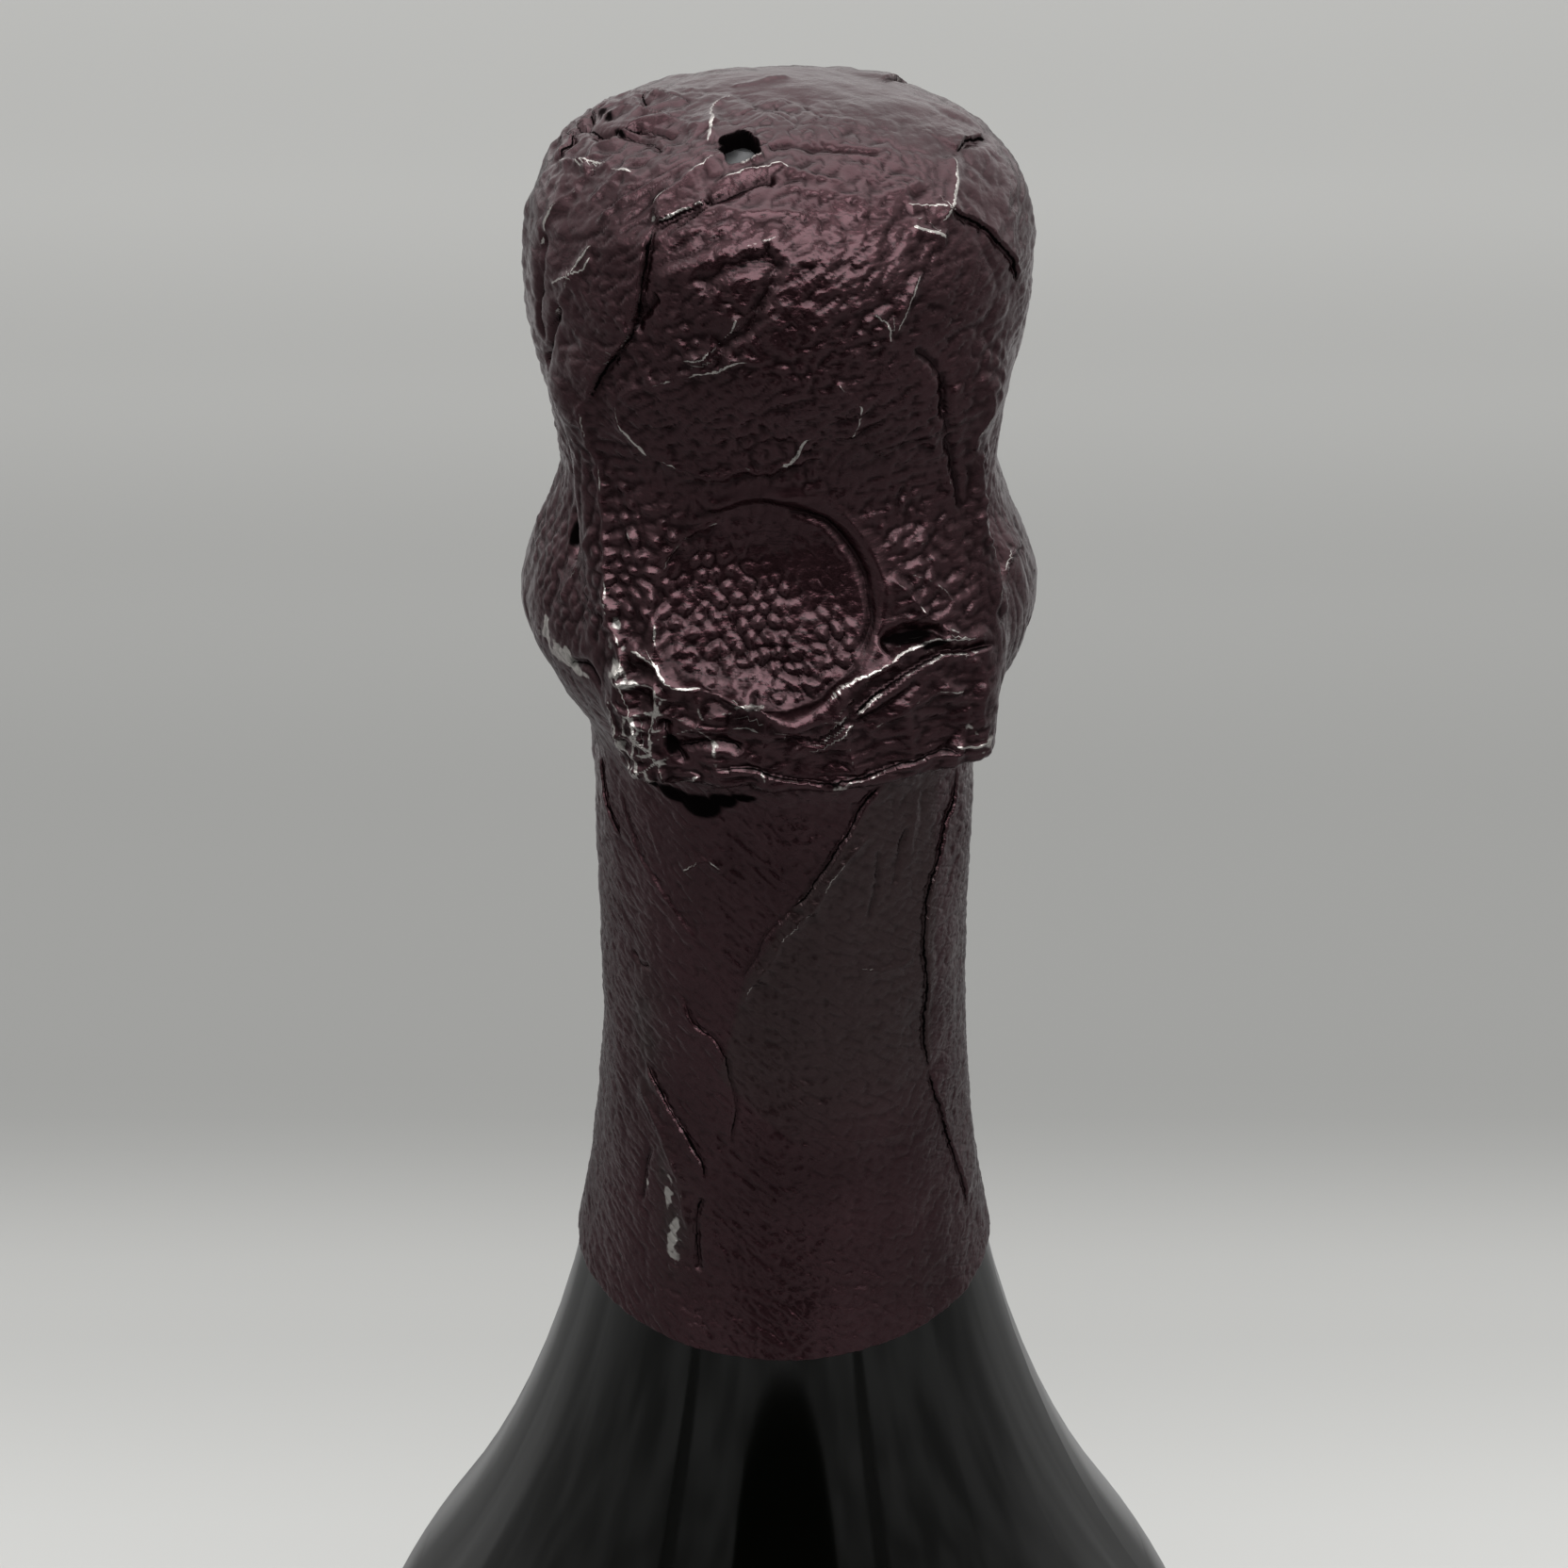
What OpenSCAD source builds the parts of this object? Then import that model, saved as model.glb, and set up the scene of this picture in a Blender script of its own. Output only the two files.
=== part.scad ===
// Sealed bottle of sparkling wine: dark glass, a wired stopper, and a crumpled foil
// pressed over the stopper, the neck ring and the upper neck.
// Millimetres, +Z up, origin at the centre of the ring it stands on, front towards -Y.

/* [Glass bottle] */
// Height of the glass, from the resting ring to the lip
glass_h = 296; // [245:1:360]
// Diameter of the straight body
body_d = 88.5; // [73:0.5:107]
// Outer diameter of the even neck below the neck ring
neck_d = 27.6; // [23:0.1:33.5]
// Length of neck below the lip, down to where it starts to widen
neck_l = 48; // [40:1:60]
// Radius of the hollow curve from the neck to the shoulder
flare_r = 137; // [110:1:165]
// Radius of the round shoulder
shoulder_r = 70; // [40:1:90]
// Radius of the heel between the body and the base
heel_r = 6; // [3:0.5:8]
// Width of the flat ring that the bottle rests on
rest_w = 7; // [4:0.5:12]
// Depth of the punt
punt_depth = 34; // [20:1:42]
// Radius of the punt's rounded tip
punt_tip_r = 13; // [8:1:16]

/* [Neck ring] */
// Height that the ring stands out from the neck
ring_out = 2.4; // [1.5:0.1:3.5]
// Height of the ring's straight side
ring_h = 6; // [4:0.5:8]
// Length of the slopes above and below the ring
ring_slope = 3; // [2:0.5:4]
// Depth of the middle of the ring below the lip
ring_drop = 15.5; // [13:0.5:18]
// Height that the lip stands out from the neck
lip_out = 0.4; // [0.2:0.1:1]

/* [Wired stopper] */
// Height of the stopper above the lip
stopper_h = 19; // [15.5:0.5:23]
// Largest diameter of the stopper's head
stopper_d = 32.8; // [27:0.1:39.5]
// Diameter of the flat top of its metal cap
cap_d = 15; // [10:0.5:18]

/* [Foil] */
// Length of the foil from its top to its lower edge
foil_l = 96; // [78:1:120]
// Clearance between the foil and what it covers
foil_gap = 0.08; // [0.05:0.01:0.15]
// Thickness of the wrapped foil on the neck
foil_skin = 0.45; // [0.3:0.05:0.8]
// Cover of crumpled foil over the flat cap
cap_cover = 1; // [0.6:0.1:1.5]
// Cover of foil and wire round the stopper's head
head_cover = 1.2; // [0.8:0.1:2]
// Cover of foil at the waist, over the lip
waist_cover = 1.2; // [0.8:0.1:2]
// Cover of foil, wire and folds over the neck ring
collar_cover = 2.6; // [1.5:0.1:3.5]
// Squareness of the dome, where 2 is a ball and more is flatter on top
dome_power = 3.2; // [2.6:0.1:3.6]

/* [Front of the foil] */
// Cover of the front panel over the lip, where the panel lies closest
panel_cover = 1; // [0.8:0.1:2.5]
// Cover of the ledge over the neck ring, where the wire's twist lies under it
ledge_cover = 2.4; // [2:0.1:3.5]
// Angle of the panel's corners from the front, at the waist
panel_angle = 50; // [40:1:56]
// Angle of the ledge's left corner from the front
ledge_left = 30; // [25:1:45]
// Angle of the ledge's right corner from the front
ledge_right = 44; // [30:1:50]
// Height of the ledge's front
ledge_h = 4; // [3:0.5:5]
// Diameter of the round hollow that the wire's loop leaves in the panel
dish_d = 15.6; // [12:0.2:17]
// Depth of that hollow
dish_depth = 1.3; // [0.4:0.1:1.4]
// Sideways offset of the hollow's centre
dish_x = -0.8; // [-2:0.1:2]
// Width of the torn hole in the foil's top
hole_w = 2.6; // [1.5:0.1:4]
// Length of the torn hole, front to back
hole_l = 4.2; // [2:0.1:5]
// Centre of the torn hole, sideways from the axis
hole_x = -2.8; // [-4:0.1:4]
// Centre of the torn hole, in front of the axis
hole_y = 8.4; // [5:0.1:9]

/* [Hidden] */
$fn = 96;
COLUMNS = 72;           // facets round the foil
PANEL_CROWN = 0.55;     // roundness of the panel's face, where 0 is the round neck's own and 1 is flat
CORNER_TURN = 16;       // degrees over which a panel corner turns into the side
LEDGE_TUCK = 1.2;       // height over which the ledge's underside runs back to the neck
JOIN_LAP = 1;           // how far the glass's stretches reach into each other where they join
EPS = 0.01;

// Outline of the stopper from the lip up: shares of the head's radius and of the height
STOPPER_SHAPE = [[0.85, 0], [0.94, 0.2], [1, 0.42], [0.97, 0.64], [0.87, 0.83], [0.7, 0.95]];
// Ragged outline of the torn hole: shares of its half width and half length
TORN_SHAPE = [[-1, -0.2], [-0.6, -0.9], [0.1, -1], [0.8, -0.7], [1, 0], [0.9, 0.8], [0.3, 1], [-0.5, 0.7]];

body_r = body_d / 2;
neck_r = neck_d / 2;
ring_r = neck_r + ring_out;
lip_r = neck_r + lip_out;
lip_round = 2 * lip_out;
ring_z = glass_h - ring_drop;
flare_z = glass_h - neck_l;
flare_turn = acos(1 - (body_r - neck_r) / (flare_r + shoulder_r));
join_r = neck_r + flare_r * (1 - cos(flare_turn));
join_z = flare_z - flare_r * sin(flare_turn);
shoulder_z = join_z - shoulder_r * sin(flare_turn);
punt_r = body_r - heel_r - rest_w;
cap_z = glass_h + stopper_h;
top_z = cap_z + cap_cover;

// Depths below the foil's top
lip_drop = top_z - glass_h;
head_drop = cap_cover + stopper_h * (1 - STOPPER_SHAPE[2][1]);
panel_drop = head_drop + 0.8 * (lip_drop - head_drop) + 3.5;
waist_drop = lip_drop + 5;
collar_drop = lip_drop + ring_drop;
dish_drop = collar_drop - 5.7;
ledge_drop = collar_drop + 2.5;
ledge_end = ledge_drop + ledge_h;
skirt_drop = collar_drop + 12.5;
head_r = stopper_d / 2 + head_cover;
foot_r = max(lip_r, stopper_d / 2 * STOPPER_SHAPE[0][0]);
waist_r = foot_r + waist_cover;
collar_r = ring_r + collar_cover;
panel_reach = foot_r + panel_cover;
ledge_reach = ring_r + ledge_cover;

function mix(a, b, t) = a + (b - a) * t;
function ease(a, b, x) = let (t = min(1, max(0, (x - a) / (b - a)))) t * t * (3 - 2 * t);

// Radius of the glass at height z, on the even neck and on the hollow flare below it
function glass_r(z) =
    z >= flare_z ? neck_r : neck_r + flare_r - sqrt(flare_r ^ 2 - (flare_z - z) ^ 2);

// Radius of the foil at depth d where it only wraps the neck
function skirt_r(d) = glass_r(top_z - d) + foil_gap + foil_skin;

// Radius of the foil at depth d, round the sides and the back
function side_r(d) =
    d < head_drop ? head_r * (1 - (1 - d / head_drop) ^ dome_power) ^ (1 / dome_power)
    : d < waist_drop ? mix(head_r, waist_r, ease(head_drop, waist_drop, d))
    : d < collar_drop ? mix(waist_r, collar_r, ease(waist_drop, collar_drop, d))
    : d < skirt_drop ? mix(collar_r, skirt_r(skirt_drop), ease(collar_drop, skirt_drop, d))
    : skirt_r(d);

// Reach of the front panel's middle line at depth d: in at the waist, out at the ledge
function panel_line(d) =
    d < panel_drop ? mix(head_r, panel_reach, ease(head_drop, panel_drop, d))
    : mix(panel_reach, ledge_reach, ease(panel_drop, ledge_drop, d));

// Angle of the panel's corner at depth d, on the side that a points to
function corner(a, d) = mix(panel_angle, a < 0 ? ledge_left : ledge_right, ease(panel_drop, ledge_drop, d));

// Share of the panel's shape at angle a from the front and depth d
function panel_share(a, d) =
    (1 - ease(corner(a, d), corner(a, d) + CORNER_TURN, abs(a)))
    * ease(head_drop, head_drop + 6, d)
    * (1 - ease(ledge_end, ledge_end + LEDGE_TUCK, d));

// Depth of the round hollow at angle a and depth d
function dish(a, d) =
    let (off = norm([panel_line(d) * sin(a) - dish_x, d - dish_drop]))
    abs(a) > 90 ? 0 : dish_depth * (1 - ease(0.36 * dish_d, 0.5 * dish_d, off));

// Radius of the foil's outside
function foil_r(a, d) = mix(side_r(d), panel_line(d) / cos(a * PANEL_CROWN), panel_share(a, d)) - dish(a, d);

// Evenly spaced values from a to b, with b left out
function steps(a, b, n) = [for (i = [0:n - 1]) mix(a, b, i / n)];

// Depths of the foil's rings of facets, from its lower edge to just under the top
dome_turns = [75, 60, 46, 34, 23, 13, 5];
outside_drops = concat(
    steps(foil_l, skirt_drop, 9),
    steps(skirt_drop, ledge_end + LEDGE_TUCK, 2),
    [ledge_end + LEDGE_TUCK, ledge_end],
    steps(ledge_end - 1, head_drop, 19),
    [head_drop],
    [for (t = dome_turns) head_drop * (1 - cos(t) ^ (2 / dome_power))]
);

// Points of a ring of facets: radius and height for each angle
function ring_of(points) = [
    for (i = [0:COLUMNS - 1])
        let (a = 360 * i / COLUMNS - 180, p = points[i])
        [p[0] * sin(a), -p[0] * cos(a), p[1]]
];
function outside_ring(d) = ring_of([
    for (i = [0:COLUMNS - 1]) [foil_r(360 * i / COLUMNS - 180, d), top_z - d]
]);
function inside_ring(p) = ring_of([for (i = [0:COLUMNS - 1]) [p[0] + foil_gap, p[1]]]);

// Outline of the glass above the even neck: up over the ring to the lip
ring_outline = [
    [neck_r, ring_z - ring_h / 2 - ring_slope],
    [ring_r, ring_z - ring_h / 2],
    [ring_r, ring_z + ring_h / 2],
    [lip_r, ring_z + ring_h / 2 + ring_slope],
    [lip_r, glass_h - lip_round],
];
stopper_outline = concat(
    [for (p = STOPPER_SHAPE) [stopper_d / 2 * p[0], glass_h + stopper_h * p[1]]],
    [[cap_d / 2, cap_z]]
);

// Everything that the foil covers, from its lower edge up to the middle of the cap
foil_end_z = top_z - foil_l;
covered_outline = concat(
    [for (z = steps(foil_end_z, max(flare_z, foil_end_z + 1), 5)) [glass_r(z), z]],
    ring_outline,
    [for (i = [1:len(stopper_outline) - 2]) stopper_outline[i]],
    [[cap_d / 2, cap_z + foil_gap]]
);

// Triangles between two rings of facets that start at points a and b
function band(a, b) = [
    for (i = [0:COLUMNS - 1])
        let (j = (i + 1) % COLUMNS)
        each [[a + i, b + i, a + j], [a + j, b + i, b + j]]
];
// Triangles from the ring of facets that starts at point a to one point
function fan(a, tip) = [for (i = [0:COLUMNS - 1]) [a + i, tip, a + (i + 1) % COLUMNS]];
function flipped(faces) = [for (f = faces) [f[0], f[2], f[1]]];

module foil_body() {
    out_rings = len(outside_drops);
    in_rings = len(covered_outline);
    in_start = COLUMNS * out_rings;
    tips = COLUMNS * (out_rings + in_rings);
    points = concat(
        [for (d = outside_drops) each outside_ring(d)],
        [for (p = covered_outline) each inside_ring(p)],
        [[0, 0, top_z], [0, 0, cap_z + foil_gap]]
    );
    outside = concat(
        [for (k = [0:out_rings - 2]) each band(k * COLUMNS, (k + 1) * COLUMNS)],
        fan(in_start - COLUMNS, tips)
    );
    inside = concat(
        [for (k = [0:in_rings - 2]) each band(in_start + k * COLUMNS, in_start + (k + 1) * COLUMNS)],
        fan(tips - COLUMNS, tips + 1)
    );
    polyhedron(points, concat(outside, flipped(inside), flipped(band(0, in_start))));
}

module torn_hole() {
    translate([hole_x, -hole_y, cap_z - head_drop])
        linear_extrude(2 * head_drop)
            polygon([for (p = TORN_SHAPE) [p[0] * hole_w / 2, -p[1] * hole_l / 2]]);
}

module foil() {
    color([0.16, 0.09, 0.1])
        difference() {
            foil_body();
            torn_hole();
        }
}

module below_the_neck() {
    // body and its round heel
    translate([0, heel_r]) square([body_r, shoulder_z - heel_r]);
    square([body_r - heel_r, heel_r]);
    intersection() {
        translate([body_r - heel_r, heel_r]) circle(heel_r);
        translate([body_r - heel_r, 0]) square(heel_r);
    }
    // round shoulder
    intersection() {
        translate([body_r - shoulder_r, shoulder_z]) circle(shoulder_r);
        translate([0, shoulder_z]) square([body_r, join_z - shoulder_z + JOIN_LAP]);
    }
    // hollow flare
    difference() {
        translate([0, join_z]) square([body_r, flare_z - join_z]);
        translate([neck_r + flare_r, flare_z]) circle(flare_r);
    }
}

module punt() {
    tip_z = punt_depth - punt_tip_r;
    // angle on the rounded tip where the sloping side runs into it
    turn = acos(punt_tip_r / norm([punt_r, tip_z])) - atan2(tip_z, punt_r);
    intersection() {
        union() {
            translate([0, tip_z]) circle(punt_tip_r);
            polygon([
                [0, -EPS], [punt_r, -EPS], [punt_r, 0],
                [punt_tip_r * cos(turn), tip_z + punt_tip_r * sin(turn)],
                [0, tip_z],
            ]);
        }
        translate([0, -EPS]) square([body_r, punt_depth + 1]);
    }
}

module glass() {
    lip_top = [[lip_r - lip_round, glass_h], [0, glass_h]];
    color([0.02, 0.03, 0.02])
        rotate_extrude()
            difference() {
                union() {
                    below_the_neck();
                    polygon(concat([[0, flare_z - JOIN_LAP], [neck_r, flare_z - JOIN_LAP]], ring_outline, lip_top));
                }
                punt();
            }
}

module stopper() {
    color([0.05, 0.05, 0.05])
        rotate_extrude()
            polygon(concat([[0, glass_h]], stopper_outline, [[0, cap_z]]));
}

glass();
stopper();
foil();
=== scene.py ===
"""A sealed bottle of sparkling wine: dark glass, and crumpled burgundy foil pressed over its wired stopper.

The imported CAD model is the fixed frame. The glass and the stopper are its own solids with better materials.
The foil's plain solid is replaced by two finely modelled skins, which start from the same outline and get
their folds, wrinkles and pressed-in marks from the functions below.
"""
import math

import bpy
import numpy as np
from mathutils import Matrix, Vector


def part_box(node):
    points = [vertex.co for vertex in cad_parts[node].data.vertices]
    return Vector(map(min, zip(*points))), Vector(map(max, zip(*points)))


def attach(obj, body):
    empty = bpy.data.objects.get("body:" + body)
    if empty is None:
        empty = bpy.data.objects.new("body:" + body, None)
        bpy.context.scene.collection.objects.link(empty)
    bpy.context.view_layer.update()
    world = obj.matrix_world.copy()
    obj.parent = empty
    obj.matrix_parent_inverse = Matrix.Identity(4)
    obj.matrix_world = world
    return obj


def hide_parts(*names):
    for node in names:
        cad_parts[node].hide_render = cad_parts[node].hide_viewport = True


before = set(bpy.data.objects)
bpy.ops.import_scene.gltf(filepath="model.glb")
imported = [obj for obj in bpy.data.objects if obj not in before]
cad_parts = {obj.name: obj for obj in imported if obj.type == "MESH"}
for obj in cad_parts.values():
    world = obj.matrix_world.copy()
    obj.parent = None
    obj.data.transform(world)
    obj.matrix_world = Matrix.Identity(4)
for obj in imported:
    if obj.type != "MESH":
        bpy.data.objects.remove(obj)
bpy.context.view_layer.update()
MM = 0.001

# -------- sizes, in millimetres
# From the frame
TOP_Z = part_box("foil")[1].z / MM
CAP_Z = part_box("stopper")[1].z / MM
LIP_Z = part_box("glass")[1].z / MM
FOIL_L = TOP_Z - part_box("foil")[0].z / MM

# Depths below the top of the foil
LIP_DROP = TOP_Z - LIP_Z
CAP_COVER = TOP_Z - CAP_Z
HEAD_DROP = CAP_COVER + 0.58 * (CAP_Z - LIP_Z)
PANEL_DROP = HEAD_DROP + 0.8 * (LIP_DROP - HEAD_DROP) + 3.5
WAIST_DROP = LIP_DROP + 5
COLLAR_DROP = LIP_DROP + 15.5
DISH_DROP = COLLAR_DROP - 5.7
LEDGE_DROP = COLLAR_DROP + 2.5
LEDGE_END = LEDGE_DROP + 4
LEDGE_TUCK = 1.2
SKIRT_DROP = COLLAR_DROP + 12.5

# Radii and reaches from the axis
HEAD_R = 17.6
WAIST_R = 15.4
COLLAR_R = 18.8
PANEL_REACH = 15.2
LEDGE_REACH = 18.6
NECK_R = 13.8
SKIN = 0.53
FLARE_R = 137
FLARE_DROP = LIP_DROP + 48
DOME_POWER = 3.2

# Front panel
PANEL_ANGLE, LEDGE_LEFT, LEDGE_RIGHT, CORNER_TURN = 50, 30, 44, 16
PANEL_CROWN = 0.55
DISH_D, DISH_DEPTH, DISH_X = 15.6, 1.8, -0.8

# What the foil covers below the lip, down to the neck: depths and radii
COVERED = [(0, 0), (LIP_DROP, 14.2), (29.5, 14.2), (32.5, 16.2), (38.5, 16.2), (41.5, NECK_R)]

# Torn hole in the top
HOLE_X, HOLE_Y, HOLE_W, HOLE_L = -2.8, 8.4, 2.6, 4.2

# -------- helpers on arrays


def mix(a, b, t):
    return a + (b - a) * t


def ease(a, b, x):
    """0 below a, 1 above b and smooth between them; a is the smaller."""
    t = np.clip((x - a) / (b - a), 0, 1)
    return t * t * (3 - 2 * t)


def fall(a, b, x):
    """1 below a, 0 above b."""
    return 1 - ease(a, b, x)


def hashed(cells, seed):
    """A repeatable random number from 0 to 1 for each row of whole numbers."""
    k = cells.astype(np.int64)
    h = (k[..., 0] * 73856093) ^ (k[..., 1] * 19349663) ^ (k[..., 2] * 83492791) ^ (seed * 2654435761)
    h = (h ^ (h >> 13)) * 1274126177
    h = (h ^ (h >> 16)) & 0xFFFFFF
    return h / float(0xFFFFFF)


# Turns points before noise, which keeps its grid off the foil's own lines
TURNED = np.array([[0.72, -0.48, 0.5], [0.6, 0.8, 0.0], [-0.35, 0.36, 0.87]])


def noise(p, size, seed=0):
    """Smooth noise from -1 to 1 with lumps about size across."""
    q = p @ TURNED / size
    base = np.floor(q)
    f = q - base
    f = f * f * f * (f * (f * 6 - 15) + 10)
    total = 0
    for corner in np.ndindex(2, 2, 2):
        c = np.array(corner)
        weight = np.prod(np.where(c, f, 1 - f), axis=-1)
        total = total + weight * hashed(base + c, seed)
    return total * 2 - 1


def layered(p, size, seed=0, layers=3):
    """Noise with finer, weaker layers added."""
    return sum(noise(p, size / 2 ** k, seed + 7 * k) / 2 ** k for k in range(layers)) / 1.6


def cells(p, size, seed=0):
    """Distances to the nearest and second nearest of scattered points, as shares of size."""
    q = p @ TURNED / size
    base = np.floor(q)
    first = np.full(len(q), 9.0)
    second = np.full(len(q), 9.0)
    for corner in np.ndindex(3, 3, 3):
        c = base + np.array(corner) - 1
        spot = c + np.stack([hashed(c, seed + k) for k in range(3)], axis=-1)
        d = np.sqrt(((spot - q) ** 2).sum(-1))
        second = np.minimum(second, np.maximum(first, d))
        first = np.minimum(first, d)
    return first, second


def crests(p, size, seed=0):
    """1 on a net of sharp crease lines, falling to 0 inside its meshes."""
    first, second = cells(p, size, seed)
    return np.clip(1 - 2.2 * (second - first), 0, 1)


# -------- the foil's plain outline


def glass_r(drop):
    below = np.maximum(drop - FLARE_DROP, 0)
    return NECK_R + FLARE_R - np.sqrt(FLARE_R ** 2 - below ** 2)


def side_r(drop):
    """Radius round the sides and the back at a depth below the top, from the head down."""
    skirt = glass_r(drop) + SKIN
    r = mix(HEAD_R, WAIST_R, ease(HEAD_DROP, WAIST_DROP, drop))
    r = np.where(drop > WAIST_DROP, mix(WAIST_R, COLLAR_R, ease(WAIST_DROP, COLLAR_DROP, drop)), r)
    to_skirt = mix(COLLAR_R, NECK_R + SKIN, ease(COLLAR_DROP, SKIRT_DROP, drop))
    r = np.where(drop > COLLAR_DROP, to_skirt, r)
    return np.where(drop > SKIRT_DROP, skirt, r)


def profile():
    """Run along the outline from the middle of the top, with the radius and depth there."""
    turn = np.radians(np.linspace(0, 90, 400))
    r = HEAD_R * np.sin(turn) ** (2 / DOME_POWER)
    drop = HEAD_DROP * (1 - np.cos(turn) ** (2 / DOME_POWER))
    low = np.linspace(HEAD_DROP, FOIL_L, 1600)[1:]
    r = np.concatenate([r, side_r(low)])
    drop = np.concatenate([drop, low])
    run = np.concatenate([[0], np.cumsum(np.hypot(np.diff(r), np.diff(drop)))])
    return run, r, drop


RUN, RUN_R, RUN_DROP = profile()


def panel_line(drop):
    high = mix(HEAD_R, PANEL_REACH, ease(HEAD_DROP, PANEL_DROP, drop))
    low = mix(PANEL_REACH, LEDGE_REACH, ease(PANEL_DROP, LEDGE_DROP, drop))
    return np.where(drop < PANEL_DROP, high, low)


def panel_share(angle, drop):
    """Share of the panel's shape at an angle from the front, in degrees, and a depth."""
    low_corner = np.where(angle < 0, LEDGE_LEFT, LEDGE_RIGHT)
    corner = mix(PANEL_ANGLE, low_corner, ease(PANEL_DROP, LEDGE_DROP, drop))
    share = fall(corner, corner + CORNER_TURN, np.abs(angle))
    share = share * ease(HEAD_DROP, HEAD_DROP + 6, drop)
    return share * fall(LEDGE_END, LEDGE_END + LEDGE_TUCK, drop)


def dish_place(angle, drop):
    """Place across and below the middle of the round hollow, as shares of its radius."""
    across = np.where(np.abs(angle) < 90, panel_line(drop) * np.sin(np.radians(angle)), 99)
    return (across - DISH_X) / (DISH_D / 2), (drop - DISH_DROP) / (DISH_D / 2)


def hollow(angle, drop):
    """Depth of the round hollow, a shallow bowl, from 0 to 1."""
    away = np.hypot(*dish_place(angle, drop))
    return fall(0.9, 1.02, away) * (1 - 0.8 * np.clip(away, 0, 1) ** 2)


def foil_point(angle, run):
    """Point of the plain foil at an angle from the front, in degrees, and a run from the top's middle."""
    drop = np.interp(run, RUN, RUN_DROP)
    side = np.interp(run, RUN, RUN_R)
    flat = panel_line(drop) / np.cos(np.radians(np.clip(angle, -90, 90) * PANEL_CROWN))
    r = mix(side, flat, panel_share(angle, drop))
    r = r - DISH_DEPTH * hollow(angle, drop)
    a = np.radians(angle)
    return np.stack([r * np.sin(a), -r * np.cos(a), TOP_Z - drop], axis=-1)


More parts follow.
